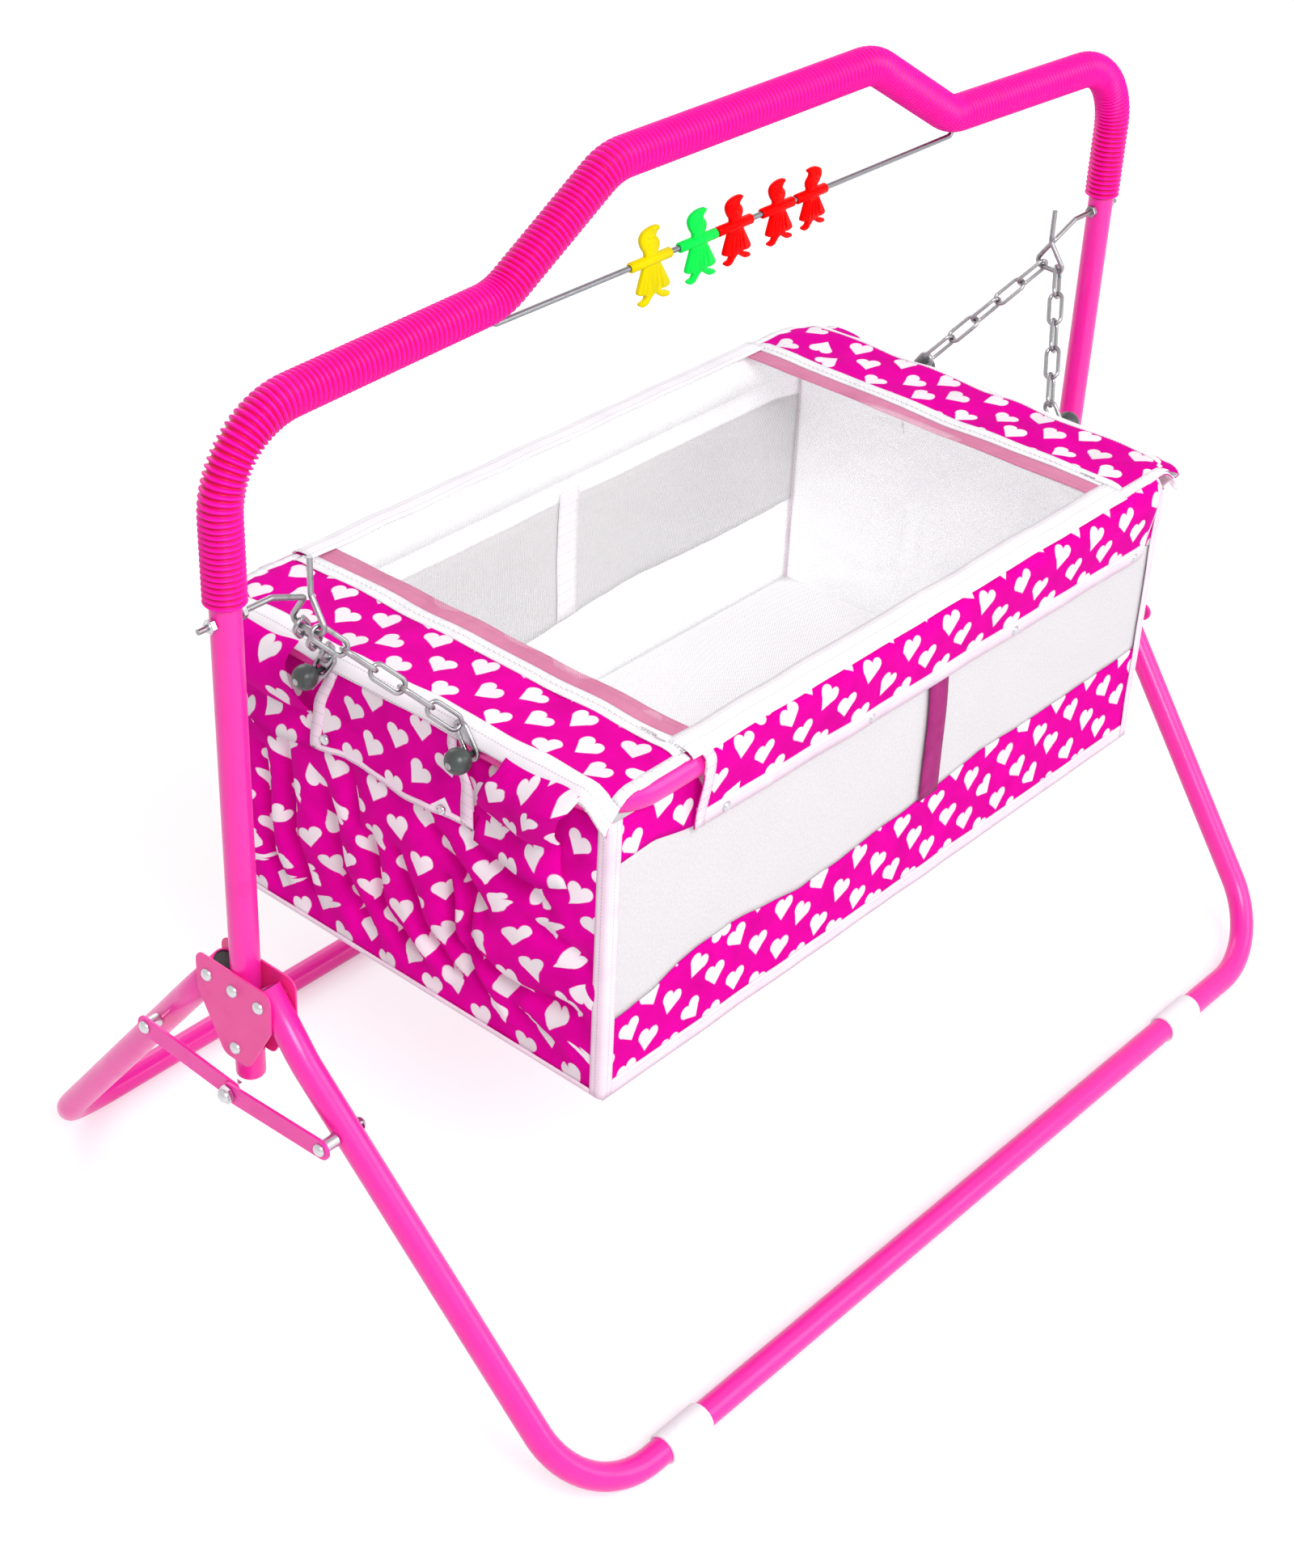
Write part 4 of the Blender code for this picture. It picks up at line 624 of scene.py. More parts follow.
def addLeg(name, node, corner):
    length = legPoint(corner, 0)[1]
    right = [legPoint(corner, drop)[0] for drop in (-stand["legBeyond"], stand["kneeDrop"], length)]
    left = [Vector((-p.x, p.y, p.z)) for p in right]
    knee, bend = stand["kneeRadius"], stand["bendRadius"]
    run = roundedPath(left + right[::-1], [0, knee, bend, bend, knee, 0], 16)
    radius, bore, lip = stand["tube"], stand["tube"] - stand["wall"], stand["lip"]
    # the open ends: a thin lip, then a way down inside
    first, last = (run[1] - run[0]).normalized(), (run[-2] - run[-1]).normalized()
    path = [run[0] + first * stand["openDepth"], run[0], run[0], run[0] + first * lip] + run[1:-1] + [
        run[-1] + last * lip, run[-1], run[-1], run[-1] + last * stand["openDepth"]]
    radii = [bore, bore, radius - lip] + [radius] * (len(path) - 6) + [radius - lip, bore, bore]
    inner = path[3:-3]
    tangents = [(inner[1] - inner[0]).normalized()] * 4
    tangents += [(inner[k + 1] - inner[k - 1]).normalized() for k in range(1, len(inner) - 1)]
    tangents += [(inner[-1] - inner[-2]).normalized()] * 4
    meshData = sweepMesh(path, radii, 36, start=(0, 1, 0), tangents=tangents)
    dress(meshPiece(name, *meshData, tubePaint, sharp=50), node, "tube_paint", node)
    snug, high, deep = bore - tubePlug["play"], tubePlug["high"], tubePlug["deep"]
    plugProfile = [(0, high), (bore - tubePlug["edge"], high), (snug, tubePlug["shoulder"]), (snug, deep),
                   (0, deep)]
    for side, end, inward in (("left", path[1], first), ("right", path[-2], last)):
        plug = lathe(f"legPlug_{node}_{side}", plugProfile, facing(end, inward), knobRubber, 28)
        dress(plug, node, "tube_paint")


footBand = {"fromCentre": 0.400, "shift": -0.026, "radius": 0.0152, "length": 0.052, "lip": 0.0012}


def addFootBands():
    outer, half, lip = footBand["radius"], footBand["length"] / 2, footBand["lip"]
    bore = stand["tube"] + 0.0002
    profile = [(bore, half), (outer - lip, half), (outer - lip / 3, half - lip / 3), (outer, half - lip),
               (outer, lip - half), (outer - lip / 3, lip / 3 - half), (outer - lip, -half), (bore, -half),
               (bore, half)]
    for side, sign in sides:
        spot = (sign * footBand["fromCentre"] + footBand["shift"], *stand["frontCorner"])
        band = lathe(f"floorBand_{side}", profile, alongX(spot, sign), bandPlastic, 40)
        dress(band, "front_leg", "band_plastic", f"foot_band_{side}")


bracket = {"thickness": 0.002, "offset": 0.0140, "halfWidth": 0.0455, "above": 0.019, "shoulder": 0.020,
           "footHalf": 0.015, "below": 0.074, "corner": 0.010, "lowRivet": 0.060, "edge": 0.0005}


def addBrackets():
    high, wide, foot = bracket["above"], bracket["halfWidth"], bracket["footHalf"]
    shape = [(-wide, high, 0), (-wide, -bracket["shoulder"], 0), (-foot, -bracket["below"], 0),
             (foot, -bracket["below"], 0), (wide, -bracket["shoulder"], 0), (wide, high, 0)]
    outline = [(p.x, p.y) for p in roundedPath(shape, [bracket["corner"]] * 6, 8, closed=True)]
    rivets = (("front_pivot", -stand["pivotOffset"], 0), ("back_pivot", stand["pivotOffset"], 0),
              ("upright_top", 0, 0), ("upright_low", 0, -bracket["lowRivet"]))
    grip = bracket["offset"] + bracket["thickness"] / 2
    for side, sign in sides:
        for face, out in (("outer", sign), ("inner", -sign)):
            place = alongX((sign * stand["halfSpan"] + out * bracket["offset"], 0, stand["pivotHeight"]))
            plate = joined(f"pivotPlate_{face}_{side}",
                           [slabMesh(outline, bracket["thickness"], place, bracket["edge"])], bracketPaint)
            dress(plate, "frame", "bracket_paint", f"bracket_{face}_{side}")
        for name, y, z in rivets:
            place = alongX((sign * stand["halfSpan"], y, stand["pivotHeight"] + z))
            rivet = lathe(f"plateRivet_{name}_{side}", pinProfile(grip, -grip), place, rivetSteel, 28)
            dress(rivet, "frame", "rivet_steel", f"rivet_{name}_{side}")


brace = {"height": 0.313, "centreHeight": 0.307, "width": 0.020, "thickness": 0.003, "backPlane": 0.0191,
         "frontPlane": 0.0224, "headPlane": 0.0257, "nutPlane": 0.0133, "hex": 0.015, "hexHigh": 0.005,
         "nutHigh": 0.0055, "domeRadius": 0.00625, "domeHigh": 0.0045, "spacer": 0.006, "bolt": 0.0035,
         "play": 0.0003, "backGap": 0.0012, "headLift": 0.0006, "edge": 0.0005, "sunk": (0.001, 0.003)}


def addBraces():
    radius, thick, play = brace["width"] / 2, brace["thickness"], brace["play"]
    for leg, way in faces:
        corner, plane = stand[leg + "Corner"], brace[leg + "Plane"]
        down = (Vector(corner) - Vector((way * stand["pivotOffset"], stand["pivotHeight"]))).normalized()
        seat = legPoint(corner, (brace["height"] - stand["pivotHeight"]) / down.y)[0]
        outer, centre = Vector((seat.y, seat.z)), Vector((0, brace["centreHeight"]))
        length = (centre - outer).length
        angle = math.atan2(centre.y - outer.y, centre.x - outer.x)
        outline = arcPoints(radius, math.pi / 2, math.pi * 1.5, 16)
        outline += [(length - u, -v) for u, v in outline]
        low = stand["halfSpan"] + plane - seat.x - play
        beside, spacer, shank = stand["tube"] + brace["backGap"], brace["spacer"], pin["shank"]
        shoulder = [(shank, low), (spacer, low), (spacer, beside), (shank, beside)]
        profile = pinProfile(low + thick + brace["headLift"], -beside, shoulder)
        for side, sign in sides:
            place = alongX((sign * (stand["halfSpan"] + plane + thick / 2), *outer), angle=angle)
            plate = slabMesh(outline, thick, place, brace["edge"])
            bar = joined(f"braceBar_{leg}_{side}", [plate], tubePaint)
            dress(bar, f"{leg}_brace_{side}", "tube_paint", f"{leg}_brace_{side}")
            place = alongX((sign * seat.x, seat.y, seat.z), sign)
            stud = lathe(f"braceStud_{leg}_{side}", profile, place, rivetSteel, 28)
            dress(stud, f"{leg}_leg", "rivet_steel", f"{leg}_brace_stud_{side}")
    for side, sign in sides:
        place = alongX((sign * stand["halfSpan"], 0, brace["centreHeight"]), sign)
        front, nutLow, headLow = brace["frontPlane"], brace["nutPlane"], brace["headPlane"]
        top, (headSunk, nutSunk) = headLow + brace["hexHigh"], brace["sunk"]
        cap = [(r, top + h) for r, h in dome(brace["domeRadius"], brace["domeHigh"])]
        cap += [(brace["domeRadius"], top - play), (0, top - play)]
        head = joined(f"centreBolt_{side}",
                      [hexMesh(brace["hex"], headLow, top, place), latheMesh(cap, place, 28),
                       rodMesh(brace["bolt"], headLow + headSunk, front, place, 20)], rivetSteel)
        dress(head, f"front_brace_{side}", "rivet_steel", f"centre_bolt_head_{side}")
        nut = joined(f"centreNut_{side}",
                     [hexMesh(brace["hex"], nutLow, nutLow + brace["nutHigh"], place),
                      rodMesh(brace["bolt"], front - play, nutLow + nutSunk, place, 20)], rivetSteel)
        dress(nut, f"back_brace_{side}", "rivet_steel", f"centre_bolt_nut_{side}")


addUprights()
addLeg("frontLegTube", "front_leg", stand["frontCorner"])
addLeg("backLegTube", "back_leg", stand["backCorner"])
addFootBands()
addBrackets()
addBraces()
print("stand done")

# Arch, its ribbed sleeve and the toy wire
arch = {"corners": ((0.590, 0.915, 0.075), (0.301, 0.927, 0.060), (0.172, 1.006, 0.060)), "end": 0.771,
        "crest": 0.0175, "valley": 0.0145, "bore": 0.0138, "ribPitch": 0.0050, "ribSharpness": 0.6,
        "ribSteps": 6, "around": 32, "inside": 0.012, "play": 0.0006, "wireHeight": 0.9065, "wireHalf": 0.306,
        "wireRise": 0.0165, "wireRadius": 0.0025, "wireBend": 0.006}


def archRoute(end):
    half = [((x, 0, z), r) for x, z, r in arch["corners"]]
    bends = [((-p[0], 0, p[2]), r) for p, r in half] + half[::-1]
    x = arch["corners"][0][0]
    points = [(-x, 0, end)] + [p for p, r in bends] + [(x, 0, end)]
    return roundedPath(points, [0] + [r for p, r in bends] + [0], 24)


def addArch():
    around, steps = arch["around"], arch["ribSteps"]
    fine = evenPath(archRoute(arch["end"]), arch["ribPitch"] / steps)
    ribs, last = round(len(fine) / steps), len(fine) - 1
    middle, swing = (arch["crest"] + arch["valley"]) / 2, (arch["crest"] - arch["valley"]) / 2
    waves = [math.cos(turn) for turn in evenly(0, 2 * math.pi * ribs, last)]
    radii = [middle - swing * math.copysign(abs(wave) ** arch["ribSharpness"], wave) for wave in waves]
    rise, bore = Vector((0, 0, arch["inside"])), [arch["bore"]] * 2
    path = [fine[0] + rise, fine[0]] + fine + [fine[-1], fine[-1] + rise]
    tangents = []
    for index in range(len(path)):
        k = clamp(index, 3, len(path) - 4)
        tangents.append((path[k + 1] - path[k - 1]).normalized())
    start = Vector((0, 1, 0)).cross(tangents[0])
    points, polygons = sweepMesh(path, bore + radii + bore, around, start=start, tangents=tangents)
    turns = [0, 0] + evenly(0, ribs, last) + [ribs, ribs]
    cuts = [(turn, 0) for turn in turns for _ in range(around)]
    hose = meshPiece("ribbedSleeve", points, polygons, sleevePlastic, cuts, sharp=80)
    dress(hose, "frame", "sleeve_plastic", "arch_sleeve")
    tube = sweep("archTube", archRoute(stand["uprightTop"] + arch["play"]), stand["tube"], tubePaint)
    dress(tube, "frame", "tube_paint", "arch_tube")
    half, low, bend = arch["wireHalf"], arch["wireHeight"], arch["wireBend"]
    high = low + arch["wireRise"]
    wire = [(-half, 0, high), (-half, 0, low), (half, 0, low), (half, 0, high)]
    wire = roundedPath(wire, [0, bend, bend, 0], 8)
    dress(sweep("toyRail", wire, arch["wireRadius"], wireSteel, 20), "frame", "wire_steel", "toy_wire")


addArch()
print("arch and sleeve done")

# Hooks, chains and ball bolts
hook = {"radius": 0.0025, "height": 0.757, "end": 0.6177, "bend": 0.545, "eye": 0.511, "apexDrop": 0.013,
        "baseDrop": 0.043, "baseHalf": 0.021, "tailRise": 0.020, "pass": 0.0062, "round": 0.006, "nut": 0.011,
        "nutHigh": 0.005, "seatHalf": 0.0105, "play": 0.0004,
        "collar": ((0.0049, 0.005), (0.0046, 0.0058), (0.0026, 0.0058), (0.0026, 0.005), (0.0049, 0.005))}
link = {"count": 6, "wire": 0.0042, "width": 0.0172, "bite": 0.0004, "fitRounds": 40, "clearance": 0.00095}
ball = {"radius": 0.0115, "shank": 0.0025, "standoff": 0.0105, "half": 0.090, "endRadius": 0.0055,
        "endHigh": 0.004, "play": 0.0003, "edge": 0.0006, "lowEdge": 0.0008,
        "insert": ((0, 0.0006), (0.0022, 0.0004), (0.0031, -0.0003), (0.0032, -0.0022), (0, -0.0022))}
rim = {"halfLength": 0.400, "halfWidth": 0.225, "height": 0.598, "corner": 0.045}


def hookPoints(sign):
    gap, height, eye = hook["pass"], hook["height"], hook["eye"]
    apex, base = height - hook["apexDrop"], height - hook["baseDrop"]
    points = [(hook["end"], 0, height), (hook["bend"], 0, height), (eye, 0, apex),
              (eye - gap / 4, hook["baseHalf"], base), (eye - gap * 3 / 4, -hook["baseHalf"], base),
              (eye - gap, 0, apex), (eye - gap, 0, height + hook["tailRise"])]
    return [Vector((sign * x, y, z)) for x, y, z in points]


def addHooks():
    inner = stand["tube"] + hook["play"]
    collar = [(radius, inner + out) for radius, out in hook["collar"]]
    for side, sign in sides:
        path = roundedPath(hookPoints(sign), [0] + [hook["round"]] * 5 + [0], 8)
        place = alongX((sign * stand["halfSpan"], 0, hook["height"]), sign)
        rod = joined(f"swingHook_{side}",
                     [sweepMesh(path, hook["radius"], 20),
                      hexMesh(hook["nut"], -inner - hook["nutHigh"], -inner, place)], hookSteel)
        dress(rod, "basket", "hook_steel", f"hook_{side}")
        nut = joined(f"hookNut_{side}", [hexMesh(hook["nut"], inner, inner + hook["nutHigh"], place),
                                         latheMesh(collar, place, 24)], rivetSteel)
        dress(nut, "basket", "rivet_steel", f"hook_nut_{side}")


def linkMesh(centre, along, across, inner):
    half = (link["width"] - link["wire"]) / 2
    run = (inner + link["wire"]) / 2 - half
    path = []
    for end in (1, -1):
        for turn in evenly(0, math.pi, 12):
            spot = centre + along * (end * (run + half * math.sin(turn)))
            path.append(spot + across * (end * half * math.cos(turn)))
    return sweepMesh(path, link["wire"] / 2, 14, closed=True, start=along.cross(across))


def seatDepth(rod, axis, normal):
    return (rod + link["wire"] / 2) / abs(axis.dot(normal)) - link["wire"] / 2 + link["clearance"]


def addChain(side, sign, face, front):
    points = hookPoints(sign)
    share = (hook["baseHalf"] - front * hook["seatHalf"]) / (2 * hook["baseHalf"])
    top = points[3].lerp(points[4], share)
    reach = rim["halfLength"] + stand["tube"] + ball["standoff"] / 2
    bottom = Vector((sign * reach, front * ball["half"], rim["height"]))
    rise = Vector((0, top.y - bottom.y, top.z - bottom.z)).normalized()
    axisX, axisY = Vector((1, 0, 0)), Vector((0, 1, 0))
    boltSeat = seatDepth(ball["shank"], axisX, axisX)
    inner = (top - bottom).length / link["count"]
    for _ in range(link["fitRounds"]):
        last = bottom + rise * (inner / 2 - boltSeat)
        joint = last + rise * (inner - link["wire"]) / 2
        down = (joint - top).normalized()
        across = down.cross(axisY).normalized()
        depth = seatDepth(hook["radius"], axisY, across.cross(down))
        inner = ((joint - top).length + depth - link["wire"] / 2) / (link["count"] - 1)
    first = top + down * (inner / 2 - depth)
    loops = []
    for index in range(link["count"] - 1):
        wide = down.cross(across) if index % 2 else across
        loops.append(linkMesh(first + down * (inner * index), down, wide, inner - link["bite"]))
    loops.append(linkMesh(last, rise, axisX.cross(rise), inner - link["bite"]))
    chain = joined(f"swingChain_{face}_{side}", loops, chainSteel)
    dress(chain, "basket", "chain_steel", f"chain_{face}_{side}")


def addBallBolts():
    outer, inner = stand["tube"] + ball["standoff"], -stand["tube"] - ball["play"]
    hidden = math.asin(ball["shank"] / ball["radius"])
    centre = outer + ball["radius"] * math.cos(hidden)
    turns = evenly(0, math.pi - hidden, 20)
    end, low, edge, lowEdge = ball["endRadius"], inner - ball["endHigh"], ball["edge"], ball["lowEdge"]
    profile = [(ball["radius"] * math.sin(t), centre + ball["radius"] * math.cos(t)) for t in turns]
    profile += [(ball["shank"], inner), (end - edge, inner), (end, inner - edge), (end, low + lowEdge),
                (end - lowEdge, low), (0, low)]
    tip = centre + ball["radius"]
    insertProfile = [(radius, tip + out) for radius, out in ball["insert"]]
    for side, sign, face, front in corners:
        place = alongX((sign * rim["halfLength"], front * ball["half"], rim["height"]), sign)
        bolt = lathe(f"ballBolt_{face}_{side}", profile, place, knobRubber, 36)
        dress(bolt, "basket", "knob_plastic", f"chain_bolt_{face}_{side}")
        insert = lathe(f"ballInsert_{face}_{side}", insertProfile, place, chainSteel, 24)
        dress(insert, "basket", "knob_plastic")


def addRim():
    x, y, z = rim["halfLength"], rim["halfWidth"], rim["height"]
    path = roundedPath(boxCorners(x, y, z), [rim["corner"]] * 4, 14, closed=True)
    ring = sweep("rimTube", path, stand["tube"], tubePaint, 36, closed=True, start=(0, 0, 1))
    dress(ring, "basket", "tube_paint", "rim_ring")


addHooks()
for corner in corners:
    addChain(*corner)
addBallBolts()
addRim()
print("hooks, chains and rim done")

# Basket cloth. Every sheet is a grid: rows of points, and rows of its cut in metres.
clothThickness, tapeThickness = 0.0012, 0.001


def spaced(low, high, gap, *stops):
    # values from low to high about gap apart, with each stop among them
    marks = sorted({low, high, *[s for s in stops if low < s < high]})
    values = []
    for a, b in zip(marks, marks[1:]):
        values += evenly(a, b, max(1, math.ceil((b - a) / gap)))[:-1]
    return values + [high]


def addSheet(name, grid, material, inner=None, thickness=clothThickness, offset=0.0, plainRows=0,
             body="basket", slot="bag_fabric", node=None):
    # inner is the material of the other side and of the first plainRows on both
    rows, cuts = grid
    wide = len(rows[0])
    polygons = [(r * wide + c, r * wide + c + 1, (r + 1) * wide + c + 1, (r + 1) * wide + c)
                for r in range(len(rows) - 1) for c in range(wide - 1)]
    piece = meshPiece(name, sum(rows, []), polygons, material, sum(cuts, []), sharp=70, fix=False)
    solid = piece.modifiers.new("clothThickness", "SOLIDIFY")
    solid.thickness = thickness
    solid.offset = offset
    if inner:
        piece.data.materials.append(inner)
        solid.material_offset = 1
        solid.material_offset_rim = 0
        for polygon in piece.data.polygons:
            polygon.material_index = 1 if polygon.index < plainRows * (wide - 1) else 0
    return dress(piece, body, slot, *([node] if node else []))


def addTrim(name, grid, limits, lift, material=bindingTape):
    # a tape on part of a sheet, lifted off it; limits are rows from, to and columns from, to
    r0, r1, c0, c1 = limits
    rows, cuts = ([row[c0:c1] for row in part[r0:r1]] for part in grid)
    return addSheet(name, (lifted(rows, lift), cuts), material, thickness=tapeThickness)


def lifted(rows, amount):
    # the same rows moved along their own normals
    moved = []
    for r, row in enumerate(rows):
        line = []
        for c, point in enumerate(row):
            down = rows[min(r + 1, len(rows) - 1)][c] - rows[max(r - 1, 0)][c]
            across = row[min(c + 1, len(row) - 1)] - row[max(c - 1, 0)]
            normal = across.cross(down)
            normal = normal.normalized() if normal.length > 1e-12 else Vector((0, 0, 1))
            line.append(point + normal * amount)
        moved.append(line)
    return moved


def turned(rows, cuts, flip):
    # the grid turned over where its printed side would look inward
    return ([r[::-1] for r in rows], [c[::-1] for c in cuts]) if flip else (rows, cuts)


def flatCut(rows, across, down):
    return [[(getattr(p, across), getattr(p, down)) for p in row] for row in rows]


def runsDown(rows, column=None):
    # how far down the cloth each row lies, along its middle or a column
    column = len(rows[0]) // 2 if column is None else column
    runs = [0.0]
    for above, below in zip(rows, rows[1:]):
        runs.append(runs[-1] + (below[column] - above[column]).length)
    return runs


def wave(x, y, seed, scale, amount):
    return noise.noise(Vector((x * scale, y * scale, seed))) * amount


def ease(value):
    value = clamp(value)
    return value * value * (3 - 2 * value)


def follow(points, x):
    # a line through points, read at x
    for (a, low), (b, high) in zip(points, points[1:]):
        if x <= b:
            return low + (high - low) * clamp((x - a) / (b - a))
    return points[-1][1]


bag = {"bottom": 0.3055, "panelTop": 0.5845, "outerX": 0.4015, "outerY": 0.2265, "inset": 0.001,
       "cloth": 0.0140, "tapeOut": 0.0016, "footTape": (0.3095, 0.307, 0.3045), "floor": 0.0008,
       "floorWave": (3, 7, 0.0008),
       "windowLow": ((-0.40, 0.380), (-0.374, 0.382), (-0.338, 0.387), (-0.3075, 0.398), (-0.245, 0.405),
                     (-0.14, 0.391), (-0.028, 0.398), (0.124, 0.412), (0.256, 0.408), (0.40, 0.409)),
       "windowHigh": ((-0.40, 0.541), (-0.348, 0.545), (-0.317, 0.538), (-0.292, 0.534), (0.36, 0.534),
                      (0.40, 0.528))}


def rimSpot(along, end):
    # a point of the rim's centre line and the way out from it, along a side or an end
    straight = (rim["halfWidth"] if end else rim["halfLength"]) - rim["corner"]
    reach = rim["halfLength"] if end else rim["halfWidth"]
    turn = max(abs(along) - straight, 0) / rim["corner"]
    flip = math.copysign(1, along)
    cross = reach - rim["corner"] + rim["corner"] * math.cos(turn)
    run = flip * (min(abs(along), straight) + rim["corner"] * math.sin(turn))
    return run, cross, flip * math.sin(turn), math.cos(turn)


def wrapRows(profile, spots, end, sign):
    # a cloth profile round the rim tube, carried along a side (end False) or an end (end True)
    rows = []
    for lineAt in profile:
        row = []
        for along in spots:
            out, height = lineAt(along)
            centre, cross, slide, away = rimSpot(along, end)
            first, second = centre + slide * out, sign * (cross + away * out)
            row.append(Vector((second, first, height) if end else (first, second, height)))
        rows.append(row)
    return rows, [[(along, -run) for along in spots] for run in runsDown(rows)]


def overTube(radius, lowInside, lowOutside, hem, seed, loose, tilt, opening=None):
    # profile of a cloth that comes up inside the rim tube, over it and down outside to its hem: each of its
    # lines gives (out, height) at a place along the tube. tilt raises the hem, opening gives more slack.
    arc, hang = 14, 8
    spots = [(-radius, lowInside)]
    for turn in evenly(0, math.pi, arc):
        spots.append((-radius * math.cos(turn), rim["height"] + radius * math.sin(turn)))
    drop = rim["height"] - lowOutside
    for share in evenly(0, 1, hang)[1:]:
        spots.append((radius + (hem - radius) * ease(share), rim["height"] - drop * share))

    def line(k, out, height):
        share = ease((k - arc / 2) / hang)

        def at(along):
            slack = share * (loose + (opening(along) if opening else 0))
            push = slack * (1 + noise.noise(Vector((along * 16, k * 0.12, seed)))) * 0.8
            ripple = slack * 0.6 * noise.noise(Vector((along * 9, 3.1, seed)))
            return out + push, height + share * tilt(along) + ripple
        return at

    return [line(k, *spot) for k, spot in enumerate(spots)]


sideCloth = {"out": 0.0008, "belly": 0.0035, "tall": 0.28, "long": 0.85, "calmFrom": 0.42,
             "pucker": (16, 0.0022), "pulls": (0.0007, 70, 38, 0.36, 0.04), "edgeWave": (77, 30, 0.0015),
             "overlap": 0.004, "windowLift": -0.0014, "windowThickness": 0.0005,
             "footTape": (-0.0035, 0.0125), "tapeLift": 0.0014}
strap = {"across": (0.024, 0.052), "top": 0.55, "length": 0.146,
         "layers": (("strapOuter", 0.0024, strapTape), ("strapInner", -0.0036, whiteTape))}


def addSidePanel(face, front):
    panelY, bottom = front * (rim["halfWidth"] + sideCloth["out"]), bag["bottom"]
    half, overlap = bag["outerX"] - bag["inset"], sideCloth["overlap"]
    xs = spaced(-half, half, 0.008, 0)

    def topLine(x):
        return follow(bag["windowHigh"], x)

    def lowLine(x):
        return follow(bag["windowLow"], x) + wave(x, 0, *sideCloth["edgeWave"])

    def spot(x, z, lift):
        # the cloth bellies out between its edges, with small pulls above the lower band
        slack = math.sin(math.pi * clamp((z - bottom) / sideCloth["tall"]))
        slack *= math.cos(x * math.pi / sideCloth["long"])
        amount, lean, rise, height, reach = sideCloth["pulls"]
        pull = math.sin(x * lean + z * rise + front) * math.exp(-((z - height) / reach) ** 2)
        pucker = wave(x, z, 4 + front, *sideCloth["pucker"]) + amount * pull
        belly = sideCloth["belly"] * slack + pucker * (1 - abs(x) / sideCloth["calmFrom"])
        return Vector((x, panelY + front * (belly + lift), z))

    def band(name, low, high, steps, material, inner=None, lift=0.0, **more):
        rows = [[spot(x, high(x) + (low(x) - high(x)) * share, lift) for x in xs]
                for share in evenly(0, 1, steps)]
        grid = turned(rows, flatCut(rows, "x", "z"), front < 0)
        return addSheet(f"{name}_{face}", grid, material, inner, **more)

    lower = band("sideLowerBand", lambda x: bottom, lowLine, 14, heartCloth, liningCloth,
                 node=f"bag_side_{face}")
    upper = band("sideUpperBand", topLine, lambda x: bag["panelTop"], 6, heartCloth, liningCloth)
    # the window's inner side takes the darker inside copy, a painted shade
    window = band("sideWindow", lambda x: lowLine(x) - overlap, lambda x: topLine(x) + overlap, 14,
                  windowMesh, windowShadedInside, lift=sideCloth["windowLift"],
                  thickness=sideCloth["windowThickness"], slot="net_fabric")
    low, high = (bottom + rise for rise in sideCloth["footTape"])
    edge = band("sideFootTape", lambda x: low, lambda x: high, 3, bindingTape, lift=sideCloth["tapeLift"],
                thickness=tapeThickness)
    addWrap(face, front)
    # strap down the window, purple outside and white inside
    across = spaced(*strap["across"], 0.007)
    heights = [strap["top"] - strap["length"] * k / 15 for k in range(16)]
    for name, lift, material in strap["layers"]:
        rows = [[spot(x, z, lift) for x in across] for z in heights]
        grid = turned(rows, flatCut(rows, "x", "z"), front < 0)
        tape = addSheet(f"{name}_{face}", grid, material, thickness=tapeThickness)


wrap = {"front": (-0.304, 0.378), "back": (-0.352, 0.352), "inside": 0.574, "low": 0.531, "tilt": 0.0095,
        "lean": 0.0060, "loose": 0.0016, "columns": (0.018, 0.009), "hemLift": 0.0010, "endLift": 0.0012,
        "frontSnaps": (-0.265, -0.068, 0.150, 0.352), "backSnaps": (-0.265, -0.068, 0.150, 0.335),
        "snapOut": 0.0086, "snapUp": 0.0058}


def addWrap(face, front):
    # the wrap over the tube: lined inside, with its lower tape, end tapes and snaps
    near, far = wrap[face]
    first, last = wrap["columns"]
    spots = spaced(near, far, 0.009, near + first, far - last)

    def hemTilt(along):
        return wrap["tilt"] * (0.5 - (along - near) / (far - near))

    profile = overTube(bag["cloth"], wrap["inside"], wrap["low"], wrap["lean"], 2.0 + front, wrap["loose"],
                       hemTilt)
    grid = turned(*wrapRows(profile, spots, False, front), front < 0)
    cloth = addSheet(f"rimWrap_{face}", grid, heartCloth, liningCloth, plainRows=8)
    trims = [addTrim(f"rimWrapHem_{face}", grid, (-3, None, 0, None), wrap["hemLift"])]
    ends = {"near": (0, 3), "far": (-2, None)} if front > 0 else {"near": (-3, None), "far": (0, 2)}
    for label, columns in ends.items():
        trims.append(addTrim(f"rimWrapEnd_{label}_{face}", grid, (4, None, *columns), wrap["endLift"]))
    for index, x in enumerate(wrap[f"{face}Snaps"]):
        y, z = front * (rim["halfWidth"] + wrap["snapOut"]), wrap["low"] + hemTilt(x) + wrap["snapUp"]
        addSnap(f"wrapSnap_{face}_{index}", Vector((x, y, z)), Vector((0, front, 0)))


snap = {"profile": ((0, 0.0018), (0.0016, 0.0017), (0.0022, 0.0011), (0.0030, 0.0011), (0.0040, 0.0016),
                    (0.0046, 0.0010), (0.0048, 0.0), (0.0048, -0.0012), (0, -0.0012))}


def addSnap(name, spot, out):
    dress(lathe(name, snap["profile"], facing(spot, out), rivetSteel, 24), "basket", "rivet_steel")


endBag = {"plane": 0.4008, "halfWidth": 0.2215, "slack": 0.0135, "depth": 1.9, "farShare": 0.35,
          "crinkles": ((1, 7.0, 26, 0.0030), (0.6, 17.0, 55, 0.0014)), "seam": 0.05, "corner": 0.012,
          "padTop": 0.334, "padGap": 0.0012, "inward": 0.03}
